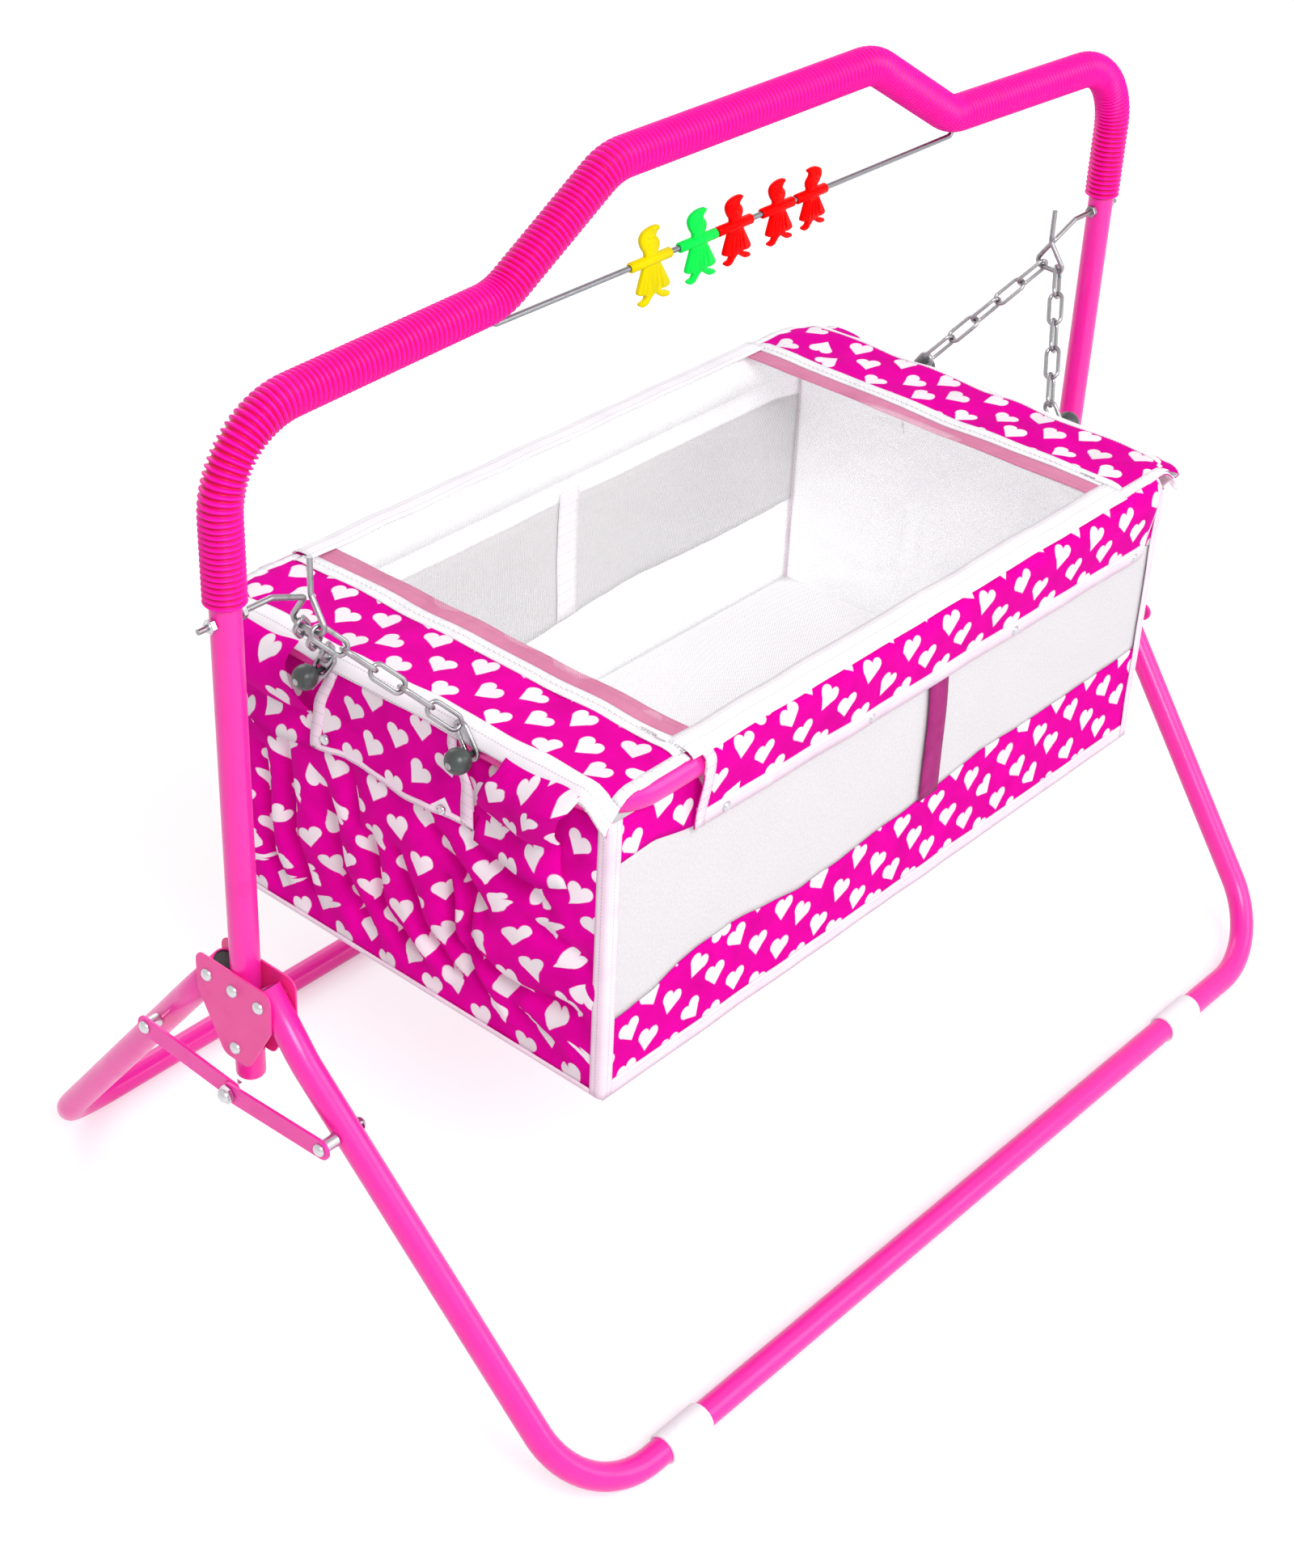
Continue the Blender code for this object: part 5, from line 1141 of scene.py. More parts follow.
# creases of the slack end cloth: from (across, height) to (across, height), half width and depth
creases = (
    (-0.035, 0.490, -0.092, 0.438, 0.010, 0.010), (0.042, 0.446, 0.036, 0.375, 0.008, 0.009),
    (0.036, 0.375, -0.002, 0.333, 0.009, 0.009), (0.008, 0.446, -0.020, 0.374, 0.008, 0.010),
    (-0.020, 0.374, -0.070, 0.325, 0.008, 0.010), (-0.048, 0.446, -0.050, 0.383, 0.008, 0.011),
    (-0.050, 0.383, -0.097, 0.329, 0.009, 0.009), (-0.068, 0.463, -0.076, 0.383, 0.008, 0.010),
    (-0.076, 0.383, -0.120, 0.366, 0.009, 0.008), (-0.120, 0.366, -0.197, 0.378, 0.010, 0.007),
    (0.150, 0.490, 0.147, 0.388, 0.009, 0.009), (0.147, 0.388, 0.128, 0.321, 0.009, 0.009),
    (0.184, 0.470, 0.184, 0.359, 0.008, 0.008), (0.184, 0.359, 0.162, 0.314, 0.008, 0.008),
    (0.100, 0.472, 0.083, 0.374, 0.012, 0.007), (0.083, 0.374, 0.050, 0.328, 0.010, 0.008),
    (-0.032, 0.320, -0.147, 0.309, 0.008, 0.006), (-0.089, 0.504, -0.165, 0.474, 0.010, 0.008),
    (0.010, 0.355, -0.022, 0.322, 0.007, 0.007), (-0.120, 0.345, -0.178, 0.322, 0.009, 0.006),
    (-0.150, 0.452, -0.205, 0.440, 0.010, 0.005), (0.066, 0.505, 0.060, 0.455, 0.009, 0.006),
)


def creaseDepth(y, z):
    total = 0.0
    for ay, az, by, bz, wide, deep in creases:
        if (abs(y - (ay + by) / 2) > abs(ay - by) / 2 + 3 * wide
                or abs(z - (az + bz) / 2) > abs(az - bz) / 2 + 3 * wide):
            continue
        runY, runZ = by - ay, bz - az
        share = clamp(((y - ay) * runY + (z - az) * runZ) / (runY * runY + runZ * runZ))
        away = math.hypot(ay + runY * share - y, az + runZ * share - z) / wide
        total += deep * math.exp(-away ** 1.7) * math.sin(math.pi * (0.2 + 0.6 * share))
    return total * endBag["depth"]


def endDrape(y, z, sign):
    # how far the slack end cloth stands out of its plane
    across = y * -sign
    height = clamp((bag["panelTop"] - z) / (bag["panelTop"] - bag["bottom"]))
    side = 1 - min(abs(y) / endBag["halfWidth"], 1) ** 4
    slack = math.sin(math.pi * height ** 0.8) * side
    held = ease((1 - height) / endBag["seam"]) * ease(height / endBag["seam"])
    held *= ease((endBag["halfWidth"] - abs(y)) / endBag["corner"])
    crinkle = sum(wave(across, z * tall, *rest) for tall, *rest in endBag["crinkles"])
    held *= 1 if sign < 0 else endBag["farShare"]
    # the mattress behind keeps the lowest part from falling in
    least = -endBag["padGap"] - endBag["inward"] * ease((z - endBag["padTop"]) / endBag["inward"])
    return max(slack * endBag["slack"] + (crinkle - creaseDepth(across, z)) * held, least)


def addEndPanel(side, sign):
    ys = spaced(-endBag["halfWidth"], endBag["halfWidth"], 0.0034)
    zs = spaced(bag["bottom"], bag["panelTop"], 0.0042)[::-1]
    rows = [[Vector((sign * (endBag["plane"] + endDrape(y, z, sign)), y, z)) for y in ys] for z in zs]
    cuts = []
    for row, z in zip(rows, zs):
        # the cut runs along the folds, so the print is gathered with the cloth
        run = runsDown([[p] for p in row])
        cuts.append([(value - run[len(ys) // 2], z) for value in run])
    panel = addSheet(f"endCloth_{side}", turned(rows, cuts, sign > 0), heartCloth, liningCloth,
                     node=f"bag_end_{side}")
    for label, flip in faces:
        addPocket(label, flip, side, sign)
    addFlap(side, sign)


# each pocket's reach along the end, and how far it leaves the tube bare and rolls out
pocket = {"front": (0.100, 0.200, 0.024, 0.015), "back": (0.116, 0.226, 0.006, 0.023), "gap": 0.0012,
          "inside": 0.572, "low": 0.520, "lean": 0.0050, "loose": 0.006, "slack": 0.008, "hemRise": 0.006,
          "hemDrop": 0.009, "hemSag": 0.008, "tuck": 0.010, "drawIn": (0.003, 0.022, 0.014),
          "hemOut": 0.007, "hemPinch": 0.005}


def addPocket(label, flip, side, sign):
    # a half turn about Z carries one end of the basket to the other
    low, high, bare, roll = pocket["front" if flip * -sign < 0 else "back"]
    spots = [flip * spot for spot in spaced(low, high, 0.005)]

    def shareAt(along):
        return (abs(along) - low) / (high - low)

    def opening(along):
        return pocket["slack"] * ease((abs(along) - low - 0.02) / (high - low - 0.02))

    def hemTilt(along):
        share = shareAt(along)
        return pocket["hemRise"] * share - pocket["hemDrop"] - pocket["hemSag"] * math.sin(math.pi * share)

    profile = overTube(bag["cloth"] + pocket["gap"], pocket["inside"], pocket["low"], pocket["lean"],
                       5.0 + flip * 2 + sign, pocket["loose"], hemTilt, opening)
    rows, cuts = wrapRows(profile, spots, True, sign)
    # the loose cloth rolls outward below the tube, and its outer edge is drawn in
    edge, draw, slope = pocket["drawIn"]
    for index, row in enumerate(rows):
        hang = ease((index - 12) / 9)
        fall = clamp((index - 8) / 15)
        inner = bare * (1 - hang) - pocket["tuck"] * hang
        outer = edge * ease(fall / 0.2) - draw * math.sin(math.pi * fall ** 2.4) - slope * fall ** 2
        flare = pocket["hemOut"] * ease((fall - 0.82) / 0.18)
        flare -= pocket["hemPinch"] * math.exp(-((fall - 0.8) / 0.06) ** 2)
        for point, share in zip(row, map(shareAt, spots)):
            point.y += flip * (inner * (1 - share) + outer * share ** 2)
            swell = math.sin(math.pi * min(fall / 0.8, 1)) * (0.5 + 0.5 * share)
            point.x += sign * (roll * swell + flare)
    grid = turned(rows, cuts, sign * flip > 0)
    addSheet(f"endPocket_{label}_{side}", grid, heartCloth, liningCloth, plainRows=8)


flap = {"top": (0.072, 0.082), "low": (0.099, 0.092), "shift": 0.011, "end": 0.5180, "gap": 0.0004,
        "inside": 0.576, "lean": 0.0030, "cloth": 0.0022, "sway": (0.0020, 5), "ripple": (0.0016, 46),
        "snaps": ((-0.66, 0.93), (0.80, 0.84)), "snapOut": 0.0022, "trimLift": 0.0011}


def addFlap(side, sign):
    shares = [-1, -0.93, -0.86] + [k / 12 for k in range(-9, 10)] + [0.86, 0.93, 1]
    radius, shift = bag["cloth"] + flap["gap"], sign * flap["shift"]
    (sway, swayTurns), (ripple, rippleTurns) = flap["sway"], flap["ripple"]

    def place(share, drop):
        # a spot of the hanging part: drop from 0 at the tube to 1 at the lower edge
        top, low = (flap[key][share * sign < 0] for key in ("top", "low"))
        y = share * (top + (low - top) * ease(drop * 1.8)) - shift * ease(0.3 + drop * 1.4)
        end = flap["end"] + sway * math.sin(share * swayTurns - 1)
        z = rim["height"] - (rim["height"] - end) * drop
        lean = radius + (flap["lean"] - radius) * ease(drop)
        lean += (endDrape(y, z, sign) + flap["cloth"]) * ease(drop * 1.1)
        lean += ripple * math.sin(y * rippleTurns - sign * drop * 3) * drop
        return Vector((sign * (rim["halfLength"] + lean), y, z))

    widths = [share * flap["top"][share * sign < 0] - shift * ease(0.3) for share in shares]
    rows = [[Vector((sign * (rim["halfLength"] - radius), y, flap["inside"])) for y in widths]]
    for turn in evenly(0, math.pi, 12):
        rows.append([Vector((sign * (rim["halfLength"] - radius * math.cos(turn)), y,
                             rim["height"] + radius * math.sin(turn))) for y in widths])
    rows += [[place(share, drop) for share in shares] for drop in evenly(0, 1, 14)[1:]]
    cuts = [[(p.y, -run) for p in row] for row, run in zip(rows, runsDown(rows))]
    grid = turned(rows, cuts, sign > 0)
    cloth = addSheet(f"buttonFlap_{side}", grid, heartCloth, liningCloth, plainRows=8)
    limits = {"low": (-2, None, 0, None), "frontEdge": (12, None, 0, 3), "backEdge": (12, None, -3, None)}
    trims = [addTrim(f"flapTape_{label}_{side}", grid, where, flap["trimLift"])
             for label, where in limits.items()]
    for index, (share, drop) in enumerate(flap["snaps"]):
        spot = place(share * -sign, drop) + Vector((sign * flap["snapOut"], 0, 0))
        addSnap(f"flapSnap_{side}_{index}", spot, Vector((sign, 0, 0)))


cornerTape = {"width": 0.013, "fold": 0.004, "below": 0.001, "top": 0.588, "sway": (18, 0.0012),
              "cutStep": 0.0022}


def addCornerTapes():
    width, x, y = cornerTape["width"], bag["outerX"] + bag["tapeOut"], bag["outerY"] + bag["tapeOut"]
    corner = [(x - width, y, 0), (x, y, 0), (x, y - width, 0)]
    turn = evenPath(roundedPath(corner, [0, cornerTape["fold"], 0], 6), 0.0025)
    zs = spaced(bag["bottom"] - cornerTape["below"], cornerTape["top"], 0.008)[::-1]
    for side, sign, face, front in corners:
        sways = [wave(z, front, 9 + sign, *cornerTape["sway"]) for z in zs]
        rows = [[Vector((sign * (p.x + sway), front * (p.y + sway), z)) for p in turn]
                for z, sway in zip(zs, sways)]
        cuts = [[(z, cornerTape["cutStep"] * k) for k in range(len(turn))] for z in zs]
        tape = addSheet(f"cornerTape_{face}_{side}", turned(rows, cuts, sign * front < 0), bindingTape,
                        thickness=tapeThickness)


def addFloor():
    # bottom cloth and its end tapes
    halfX, halfY = bag["outerX"] - bag["inset"], bag["outerY"] - bag["inset"]
    xs, ys, low = spaced(-halfX, halfX, 0.02), spaced(-halfY, halfY, 0.02), bag["bottom"] + bag["floor"]
    rows = [[Vector((x, y, low + wave(x, y, *bag["floorWave"]))) for x in xs] for y in ys]
    bottom = addSheet("bottomCloth", (rows, flatCut(rows, "x", "y")), liningCloth, heartCloth,
                      node="bag_floor")
    for side, sign in sides:
        x = sign * (bag["outerX"] + bag["tapeOut"])
        rows = [[Vector((x, y, z)) for y in ys] for z in bag["footTape"]]
        addSheet(f"endFootTape_{side}", (rows, flatCut(rows, "y", "z")), bindingTape, thickness=tapeThickness)


pad = {"halfLength": 0.3925, "halfWidth": 0.2175, "low": 0.3115, "thickness": 0.017, "crown": 0.004,
       "longs": 96, "wides": 54, "voxel": 0.006, "pressure": 4.0, "frames": 20, "cap": 0.007,
       "rest": 0.3090, "wall": (0.3972, 0.2222), "piping": 0.0019, "lumps": (21, 16, 0.0022),
       "waist": 0.006, "seamFrom": 0.02, "seamBend": 0.03, "seamAim": 0.025, "seamSink": 0.0002}


def addPad():
    # crowned top, sides that pull in a little and a sewn edge
    longs, wides, half = pad["longs"], pad["wides"], pad["thickness"] / 2

    def level(u, v, upper):
        edge = max(1 - abs(u) ** 8, 0) ** 0.5 * max(1 - abs(v) ** 6, 0) ** 0.5
        crown = pad["crown"] * (1 - u * u) * (1 - v * v) + wave(u * 0.4, v * 0.22, *pad["lumps"])
        return pad["low"] + half + (half + crown if upper else -half) * edge

    points, polygons = [], []
    for upper in (True, False):
        for u in (math.sin(t * math.pi / 2) for t in evenly(-1, 1, longs)):
            for v in (math.sin(t * math.pi / 2) for t in evenly(-1, 1, wides)):
                x, y = u * pad["halfLength"], v * pad["halfWidth"] * (1 - pad["waist"] * (1 - u * u))
                points.append(Vector((x, y, level(u, v, upper))))
    below, across = (longs + 1) * (wides + 1), wides + 1
    for i in range(longs):
        for a in range(i * across, i * across + wides):
            b = a + below
            polygons += [(a, a + across, a + across + 1, a + 1), (b, b + 1, b + across + 1, b + across)]
    piece = meshPiece("floorMattress", points, polygons, padCloth, [(p.x, p.y) for p in points], sharp=60)
    cleaned(piece.data, 0.00002)
    piece = swollen(piece)
    dress(piece, "basket", "pad_fabric", "floor_pad")
    dress(padPiping(piece), "basket", "pad_fabric")


def swollen(piece):
    # the stuffed form: the plain one is remeshed, blown up a little as cloth and settled on the floor cloth
    scene = bpy.context.scene
    remesh = piece.modifiers.new("even", "REMESH")
    remesh.mode = "VOXEL"
    remesh.voxel_size = pad["voxel"]
    mesh = bpy.data.meshes.new_from_object(piece.evaluated_get(bpy.context.evaluated_depsgraph_get()))
    mesh.name = name = piece.name
    bpy.data.objects.remove(piece)
    soft = newObject(name, mesh)
    cloth = soft.modifiers.new("stuffing", "CLOTH")
    cloth.settings.quality = 5
    cloth.settings.use_pressure = True
    cloth.settings.uniform_pressure_force = pad["pressure"]
    cloth.settings.effector_weights.gravity = 0
    cloth.collision_settings.use_collision = False
    for frameNumber in range(1, pad["frames"] + 1):
        scene.frame_set(frameNumber)
    blown = soft.evaluated_get(bpy.context.evaluated_depsgraph_get()).data
    moves = [after.co - before.co for after, before in zip(blown.vertices, mesh.vertices)]
    soft.modifiers.remove(cloth)
    scene.frame_set(1)
    print("mattress points", len(moves), "largest move", round(max(m.length for m in moves), 4))
    wallX, wallY = pad["wall"]
    for vertex, move in zip(mesh.vertices, moves):
        reach = move.length
        if reach > 1e-9:
            move = move * (pad["cap"] * math.tanh(reach / pad["cap"]) / reach)
        spot = vertex.co + move
        x, y = clamp(spot.x, -wallX, wallX), clamp(spot.y, -wallY, wallY)
        vertex.co = Vector((x, y, max(spot.z, pad["rest"])))
    layer = mesh.uv_layers.new(name="cut")
    for loop in mesh.loops:
        layer.data[loop.index].uv = mesh.vertices[loop.vertex_index].co.xy
    mesh.materials.clear()
    mesh.materials.append(padCloth)
    mesh.shade_smooth()
    finer = soft.modifiers.new("finer", "SUBSURF")
    finer.levels = finer.render_levels = 1
    return soft


def padPiping(piece):
    # the sewn seam round the mattress, at half its height
    tree = bvhtree.BVHTree.FromPolygons([v.co for v in piece.data.vertices],
                                        [tuple(p.vertices) for p in piece.data.polygons])
    height = pad["low"] + pad["thickness"] / 2
    x, y, aim = pad["halfLength"] + pad["seamFrom"], pad["halfWidth"] + pad["seamFrom"], pad["seamAim"]
    loop = roundedPath(boxCorners(x, y, height), [pad["seamBend"]] * 4, 8, closed=True)
    spots = []
    for point in evenPath(loop + [loop[0]], 0.008)[:-1]:
        core = Vector((clamp(point.x, aim - x, x - aim), clamp(point.y, aim - y, y - aim), height))
        inward = (core - point).normalized()
        spot = tree.ray_cast(point, inward)[0]
        if spot:
            spots.append(spot - inward * pad["seamSink"])
    spots = [(spots[i - 1] + spots[i] * 2 + spots[(i + 1) % len(spots)]) / 4 for i in range(len(spots))]
    return sweep("mattressPiping", spots, pad["piping"], padCloth, 10, closed=True, start=(0, 0, 1))


strip = {"inner": 0.3165, "halfWidth": 0.2335, "height": 0.6150, "rollFrom": 0.399, "tapeHalf": 0.2260,
         "gathers": ((47, 0, 1, 0.5), (83, 2, 1, 0.35), (140, 0, 0, 0.15)), "gatherHigh": 0.0016,
         "gatherOut": 0.0014, "swell": (18, 0.0030), "sideDrop": 0.0060, "pointDrop": 0.0130,
         "ripple": (0.0010, 60, 90), "gap": 0.0014, "clearance": 0.0027, "trimLift": 0.0010,
         "tapeSwell": (18, 0.0022), "tapeDip": 0.010,
         "roll": ((0.4025, 0.0004), (0.4060, 0.0014), (0.4092, 0.0032), (0.4118, 0.0058), (0.4136, 0.0088),
                  (0.4146, 0.0118), (0.4148, 0.0145)),
         "tapes": (("zipOuter", 0.3170, 0.3262, 0.6176, zipTape, "basket", "bag_fabric"),
                   ("zipInner", 0.3085, 0.3158, 0.6174, zipTape, "net", "net_fabric"),
                   ("zipRibbon", 0.2875, 0.3082, 0.6168, ribbonTape, "net", "net_fabric"))}
# the slider's and the pull's place, half sizes and ends
zipParts = {"teeth": 150, "line": 0.3163, "half": 0.222, "height": 0.6180, "stagger": 0.0007,
            "tooth": (0.0014, 0.0007, 0.0012), "toothEdge": 0.0002,
            "slider": (((-0.205, 0.6196), (0.003, 0.005, 0.0022), (0.0006, 0.0036)),
                       ((-0.192, 0.6206), (0.0022, 0.009, 0.0010), (0.0004, 0.0016)))}


def aboveRim(x, y, gap):
    # the lowest that cloth may lie over the rim tube at a spot
    beyondX = max(abs(x) - rim["halfLength"] + rim["corner"], 0)
    beyondY = max(abs(y) - rim["halfWidth"] + rim["corner"], 0)
    out = math.hypot(beyondX, beyondY) if beyondX and beyondY else beyondX + beyondY
    away, reach = abs(out - rim["corner"]), stand["tube"] + gap
    return rim["height"] + math.sqrt(reach * reach - away * away) if away < reach else 0


def stripGrid(sign):
    ys = spaced(-strip["halfWidth"], strip["halfWidth"], 0.0065, -0.2235, 0.2235)
    flat = spaced(strip["inner"], strip["rollFrom"], 0.008)
    ripple, rippleY, rippleX = strip["ripple"]
    rows = []
    for x, drop in [(x, 0.0) for x in flat] + list(strip["roll"]):
        over = ease((x - strip["rollFrom"]) / 0.014)
        row = []
        for y in ys:
            side = ease((abs(y) - 0.200) / 0.034)
            gather = sum(math.sin(y * turns + start + sign * mirrored) * share
                         for turns, start, mirrored, share in strip["gathers"])
            point = ease((abs(y) - 0.206) / 0.0275) * ease((x - 0.384) / 0.030)
            z = strip["height"] + strip["gap"] - drop
            z -= strip["sideDrop"] * side * side + strip["pointDrop"] * point
            z += (wave(x, y, 31 + sign, *strip["swell"]) * (1 - side * 0.5) * (1 - over * 0.5)
                  + strip["gatherHigh"] * gather * over)
            z += ripple * math.sin(y * rippleY + x * rippleX) * ease((x - strip["inner"]) / 0.02) * (1 - over)
            z = max(z, aboveRim(x, y, strip["clearance"]))
            row.append(Vector((sign * (x + strip["gatherOut"] * gather * over * (1 - side)), y, z)))
        rows.append(row)
    return turned(rows, [[(y, sign * run) for y in ys] for run in runsDown(rows)], sign > 0)


def addTop():
    for side, sign in sides:
        grid = stripGrid(sign)
        piece = addSheet(f"topStrip_{side}", grid, heartCloth, liningCloth, node=f"top_strip_{side}")
        limits = {"outer": (-8, None, 0, None), "front": (0, -7, 0, 3), "back": (0, -7, -3, None)}
        trims = [addTrim(f"stripTape_{label}_{side}", grid, where, strip["trimLift"], whiteTape)
                 for label, where in limits.items()]
        for name, *rest in strip["tapes"]:
            addTape(f"{name}_{side}", sign, *rest)
        addZip(side, sign)


def tapeLift(x, y, sign):
    # the tapes and the zip follow the strip's waves and dip at its ends
    return wave(x, y, 31 + sign, *strip["tapeSwell"]) - strip["tapeDip"] * ease((abs(y) - 0.212) / 0.03)


def addTape(name, sign, low, high, height, material, body, slot):
    # a flat tape across the top, along Y
    ys, xs = spaced(-strip["tapeHalf"], strip["tapeHalf"], 0.0075), spaced(low, high, 0.004)
    rows = [[Vector((sign * x, y, height + tapeLift(x, y, sign))) for y in ys] for x in xs]
    grid = turned(rows, [[(y, x - low) for y in ys] for x in xs], sign > 0)
    addSheet(name, grid, material, thickness=0.0009, body=body, slot=slot)


def addZip(side, sign):
    # teeth of the zip and its slider
    count, line, stagger = zipParts["teeth"], sign * zipParts["line"], zipParts["stagger"]
    teeth = []
    for k, share in enumerate(evenly(-1, 1, count - 1)):
        y = zipParts["half"] * share
        spot = (line + (stagger if k % 2 else -stagger), y, zipParts["height"] + tapeLift(0.316, y, sign))
        teeth.append(barMesh(*zipParts["tooth"], Matrix.Translation(spot), zipParts["toothEdge"]))
    dress(joined(f"zipTeeth_{side}", teeth, bandPlastic), "basket", "bag_fabric")
    slider = [barMesh(*size, Matrix.Translation((line, *spot)), *ends)
              for spot, size, ends in zipParts["slider"]]
    dress(joined(f"zipSlider_{side}", slider, bandPlastic), "basket", "bag_fabric")


cover = {"halfLength": 0.3155, "halfWidth": 0.2325, "height": 0.6156, "crown": 0.012,
         "ripple": (41, 6, 0.003), "thickness": 0.0004, "gap": 0.0006, "inset": (0.020, 0.010),
         "foldY": 0.2325, "foldZ": 0.6137, "foldReach": 0.010, "bandGap": 0.0012, "bandWave": (16, 0.0012),
         "bandRipple": (20, 0.0022),
         "band": ((-0.018, 0.0008), (-0.012, 0.0009), (-0.006, 0.0008), (0.0, 0.0002), (0.005, -0.0012),
                  (0.0080, -0.0030), (0.0096, -0.0052))}


def netHeight(x, y):
    u, v = x / cover["halfLength"], y / (cover["halfWidth"] * 0.93)
    lift = cover["crown"] * 0.55 * max(1 - u * u, 0) * max(1 - v * v, 0)
    ripple = wave(x, y, *cover["ripple"]) * max(1 - v * v, 0) * max(1 - u ** 4, 0)
    return cover["height"] + cover["gap"] + lift + ripple - cover["gap"] * abs(u) ** 6


def addCover():
    halfX, (endGap, sideGap), gap = cover["halfLength"], cover["inset"], cover["bandGap"]
    halfY = cover["halfWidth"] - sideGap
    xs, ys = spaced(-halfX + endGap, halfX - endGap, 0.012), spaced(-halfY, halfY, 0.012)
    rows = [[Vector((x, y, netHeight(x, y))) for x in xs] for y in ys]
    net = addSheet("coverNet", (rows, flatCut(rows, "x", "y")), netMesh, thickness=cover["thickness"],
                   body="net", slot="net_fabric", node="net_cover")
    # white bands along the front and back edges, laid over the rim wrap
    xs = spaced(-halfX, halfX, 0.010)
    for face, front in faces:
        rows = []
        for out, drop in cover["band"]:
            row = []
            for x in xs:
                y = front * (rim["halfWidth"] + out + gap + wave(x, out, 51 + front, *cover["bandWave"]))
                ripple = wave(x, out * 0.4, 61 + front, *cover["bandRipple"]) * (0.4 + abs(out) * 20)
                row.append(Vector((x, y, cover["height"] + gap + drop + ripple)))
            rows.append(row)
        grid = turned(rows, [[(x, run) for x in xs] for run in runsDown(rows, 0)], front < 0)
        band = addSheet(f"coverBand_{face}", grid, whiteTape, thickness=tapeThickness, offset=1.0,
                        body="net" if front < 0 else None, slot="net_fabric")
        if front > 0:
            # this band is sewn down outside the fold; it is fixed in place and tied to no body
            y, z = cover["foldY"], cover["foldZ"]
            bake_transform(band)


print("cloth helpers ready")
for face, front in faces:
    addSidePanel(face, front)
for side, sign in sides:
    addEndPanel(side, sign)
addCornerTapes()
addFloor()
addPad()
print("basket done")

addTop()
addCover()
print("top and net done")

# Toys threaded on the wire: flat moulded dolls. Shapes are in shares of a doll's span and height.
toy = {"dolls": ((-0.118, "yellow", 1.1, 1), (-0.0575, "green", 1.04, 1), (-0.009, "red", 0.98, 1),
                 (0.049, "red", 0.94, 1), (0.096, "red", 0.9, -1)),
       "span": 0.047, "height": 0.064, "thickness": 0.0046, "arm": 0.0046, "bore": 0.0029,
       "pleats": ((-0.12, -0.20), (-0.04, -0.09), (0.05, 0.04), (0.13, 0.18), (0.20, 0.31)),
       "pleatRadii": [0.0002, 0.0004, 0.0006, 0.0007, 0.0007, 0.0006, 0.0003],
       "fringe": ((-0.24, 0.26), (-0.14, 0.32), (-0.05, 0.285), (0.02, 0.31), (0.06, 0.27)),
       "pleatTop": -0.10, "pleatLow": -0.38, "line": 0.0005, "eyes": (-0.11, 0.05), "eyeHeight": 0.225,
       "eye": ((0, 0.0007), (0.0008, 0.0005), (0.0010, 0.0), (0, 0.0)), "smile": (-0.03, 0.165),
       "smileSize": (0.0030, 0.0014), "smileLine": 0.0004}
toyHead = (
    (0.139, 0.079), (0.185, 0.141), (0.192, 0.203), (0.156, 0.252), (0.098, 0.290), (0.088, 0.322),
    (0.122, 0.352), (0.172, 0.378), (0.176, 0.386), (0.160, 0.408), (0.151, 0.413), (0.039, 0.424),
    (-0.103, 0.416), (-0.211, 0.388), (-0.271, 0.336), (-0.282, 0.275), (-0.229, 0.187), (-0.13, 0.103),
)
toyBody = (
    (-0.159, -0.048), (-0.176, -0.102), (-0.264, -0.295), (-0.296, -0.375), (-0.248, -0.4), (-0.082, -0.425),
    (-0.106, -0.481), (-0.232, -0.503), (-0.24, -0.53), (-0.171, -0.566), (-0.042, -0.558), (0.025, -0.493),
    (0.128, -0.433), (0.242, -0.495), (0.329, -0.538), (0.492, -0.546), (0.501, -0.506), (0.446, -0.475),
    (0.333, -0.452), (0.246, -0.409), (0.388, -0.425), (0.485, -0.403), (0.491, -0.358), (0.363, -0.213),
    (0.245, -0.077), (0.212, -0.038),
)


def smoothLoop(loop, cut=0.22):
    # each corner cut off twice
    keep = 1 - cut
    for _ in range(2):
        finer = []
        for i, (u, v) in enumerate(loop):
            a, b = loop[(i + 1) % len(loop)]
            finer += [(u * keep + a * cut, v * keep + b * cut), (u * cut + a * keep, v * cut + b * keep)]
        loop = finer
    return loop


def dollSide(turn, look, span, height, mirror):
    # what one face of a doll carries: pleats of the dress, the fringe line, eyes and a small smile
    place = turn @ Matrix.Translation((0, 0, toy["thickness"] / 2))

    def spot(u, v):
        return place @ Vector((u * span, v * height, 0))

    parts = []
    for top, low in toy["pleats"]:
        start, end = spot(mirror * top, toy["pleatTop"]), spot(mirror * low, toy["pleatLow"])
        parts.append(sweepMesh([start.lerp(end, t) for t in evenly(0, 1, 6)], toy["pleatRadii"], 8))
    fringe = evenPath([spot(look * u, v) for u, v in toy["fringe"]], 0.001)
    parts.append(sweepMesh(fringe, toy["line"], 8))
    for beside in toy["eyes"]:
        eye = place @ Matrix.Translation((look * beside * span, toy["eyeHeight"] * height, -0.0002))
        parts.append(latheMesh(toy["eye"], eye, 14))
    middle, rise = look * toy["smile"][0] * span, toy["smile"][1] * height
    wide, deep = toy["smileSize"]
    smile = [place @ Vector((middle + wide * math.sin(t), rise - deep * math.cos(t), 0))
             for t in evenly(-1, 1, 10)]
    return parts + [sweepMesh(smile, toy["smileLine"], 8)]


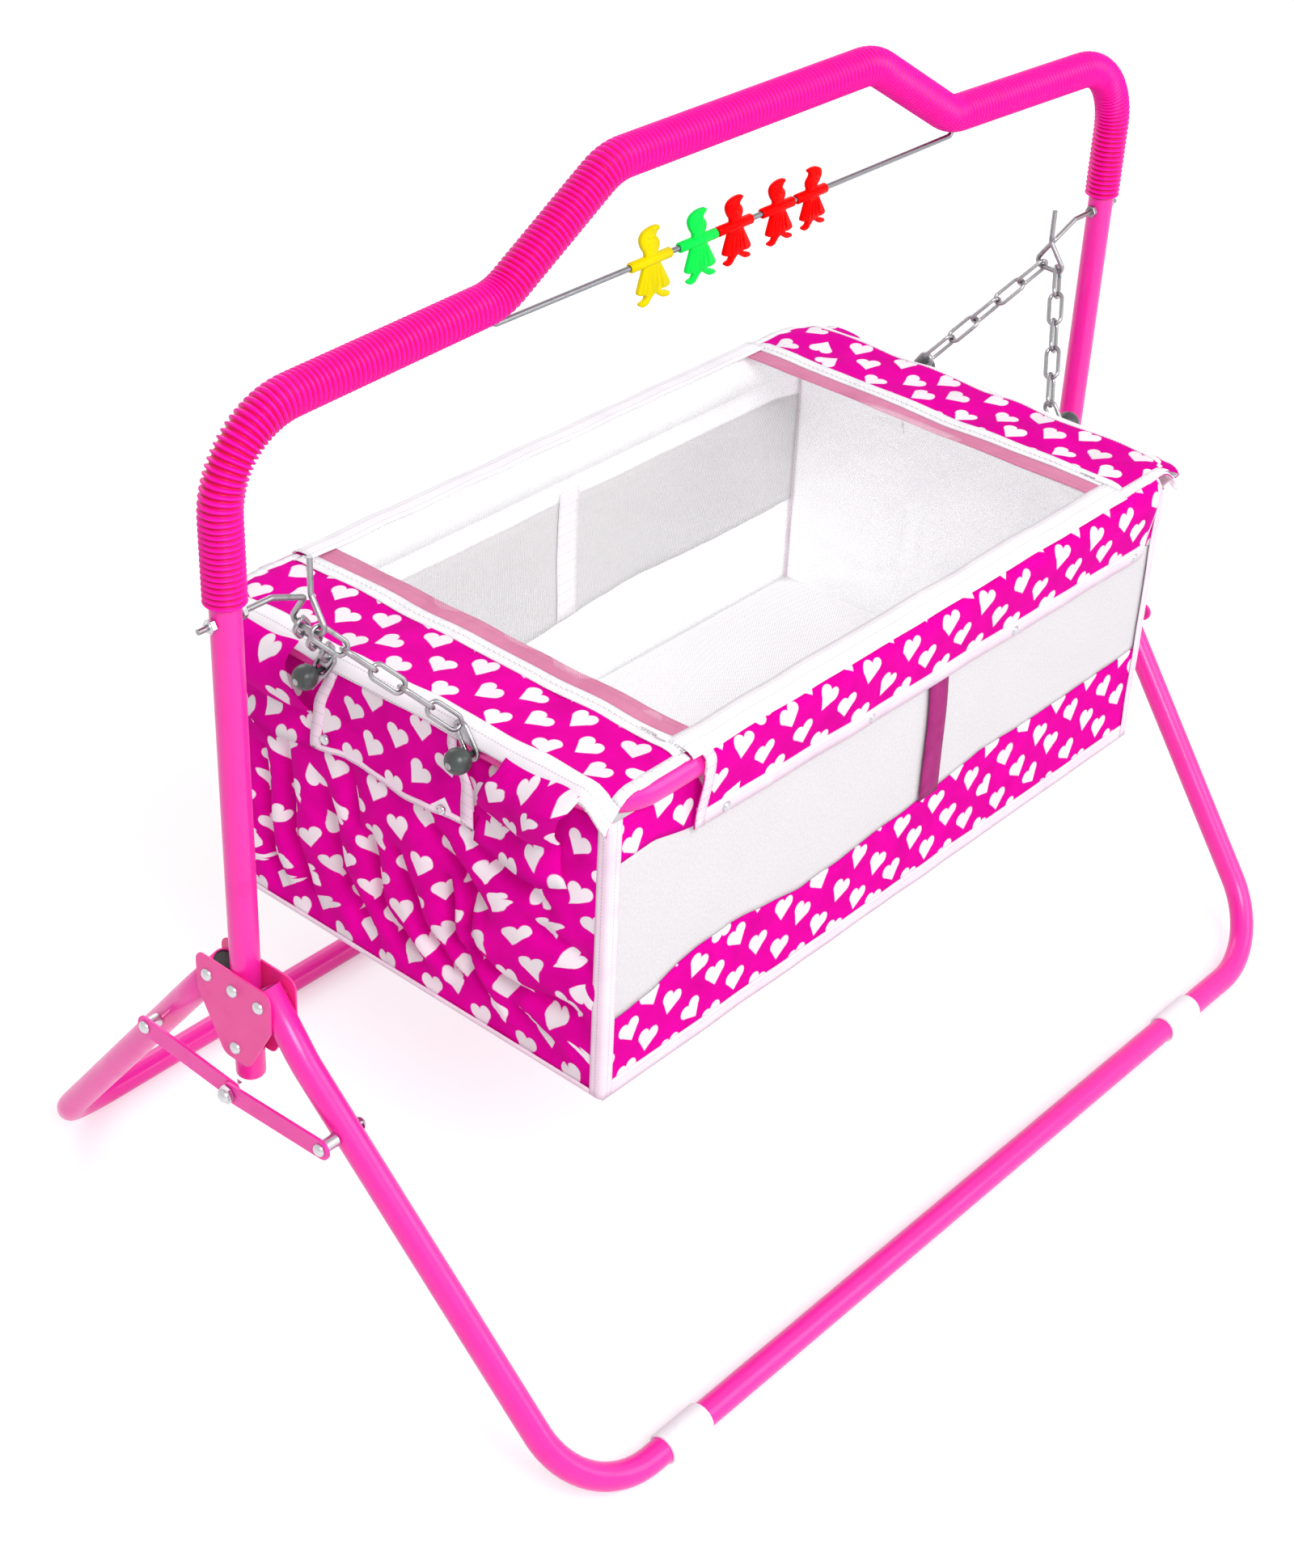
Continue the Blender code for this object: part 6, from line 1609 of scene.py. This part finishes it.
def addToys():
    for index, (x, colour, size, look) in enumerate(toy["dolls"]):
        span, height = toy["span"] * size, toy["height"] * size
        head = toyHead if look > 0 else [(-u, v) for u, v in reversed(toyHead)]
        outline = smoothLoop([(u * span, v * height) for u, v in (*head, *toyBody)])
        middle = Vector((x, 0, arch["wireHeight"]))
        place = Matrix.Translation(middle) @ Matrix.Rotation(math.pi / 2, 4, "X")
        half, arm, bore = span / 2, toy["arm"], toy["bore"]
        hand = arm / 3
        sleeve = [(bore, half), (arm - hand, half), (arm, half - hand), (arm, hand - half),
                  (arm - hand, -half), (bore, -half), (bore, half)]
        parts = [slabMesh(outline, toy["thickness"], place, 0.0007), latheMesh(sleeve, alongX(middle), 24)]
        parts += dollSide(place, look, span, height, 1)
        parts += dollSide(place @ Matrix.Rotation(math.pi, 4, "Y"), -look, span, height, -1)
        doll = joined(f"toyDoll_{index + 1}", parts, toyPlastic[colour], sharp=50)
        dress(doll, f"toy_{index + 1}", f"{colour}_plastic", f"toy_figure_{index + 1}")


addToys()
print("toys done")

# Stage: a pale floor, a white surround and soft lamps
studio = {"floorRadius": 7.0, "floorGlow": 0.40, "worldLight": 0.63, "aim": (0, 0, 0.5),
          "lamps": (("keyLamp", (-1.6, -3.0, 3.4), 2.0, 112.0), ("fillLamp", (1.8, -3.4, 2.2), 2.6, 40.0),
                    ("backLamp", (1.0, 3.2, 2.8), 2.4, 35.0))}


def cameraSees(tree, m):
    path = put(tree, "ShaderNodeLightPath").outputs
    return m.max(m.max(path["Is Camera Ray"], path["Is Glossy Ray"]), path["Is Transmission Ray"])


def addStage():
    material, tree, shader, m = newMaterial("shadowFloor", Roughness=0.9, Emission_Color=(1, 1, 1, 1))
    place = put(tree, "ShaderNodeTexCoord").outputs["Object"]
    grain = effect(tree, "surfaceGrain", {"Vector": place, "Scale": 3.0})
    tone = mixColour(tree, grain["Cloud"], linear(222, 222, 223), linear(226, 226, 227))
    feed(tree, shader, {"Base Color": tone,
                        "Emission Strength": m.mul(cameraSees(tree, m), studio["floorGlow"])})
    points = [(x, y, 0) for x, y in arcPoints(studio["floorRadius"], 0, 2 * math.pi, 64)[:-1]]
    meshPiece("studioFloor", points, [tuple(range(len(points)))], material)
    world = bpy.data.worlds.new("studioWorld")
    world.use_nodes = True
    bpy.context.scene.world = world
    tree, level = world.node_tree, studio["worldLight"]
    m = mathIn(tree)
    feed(tree, tree.nodes["Background"].inputs,
         {"Color": (1, 1, 1, 1), "Strength": m.add(m.mul(cameraSees(tree, m), 1 - level), level)})
    for name, spot, size, power in studio["lamps"]:
        data = bpy.data.lights.new(name, "AREA")
        data.shape = "DISK"
        data.size = size
        data.energy = power
        aim = Vector(studio["aim"]) - Vector(spot)
        newObject(name, data).matrix_world = (Matrix.Translation(spot)
                                              @ aim.to_track_quat("-Z", "Y").to_matrix().to_4x4())
    bpy.context.scene.view_settings.view_transform = "Standard"


addStage()
print("stage done")
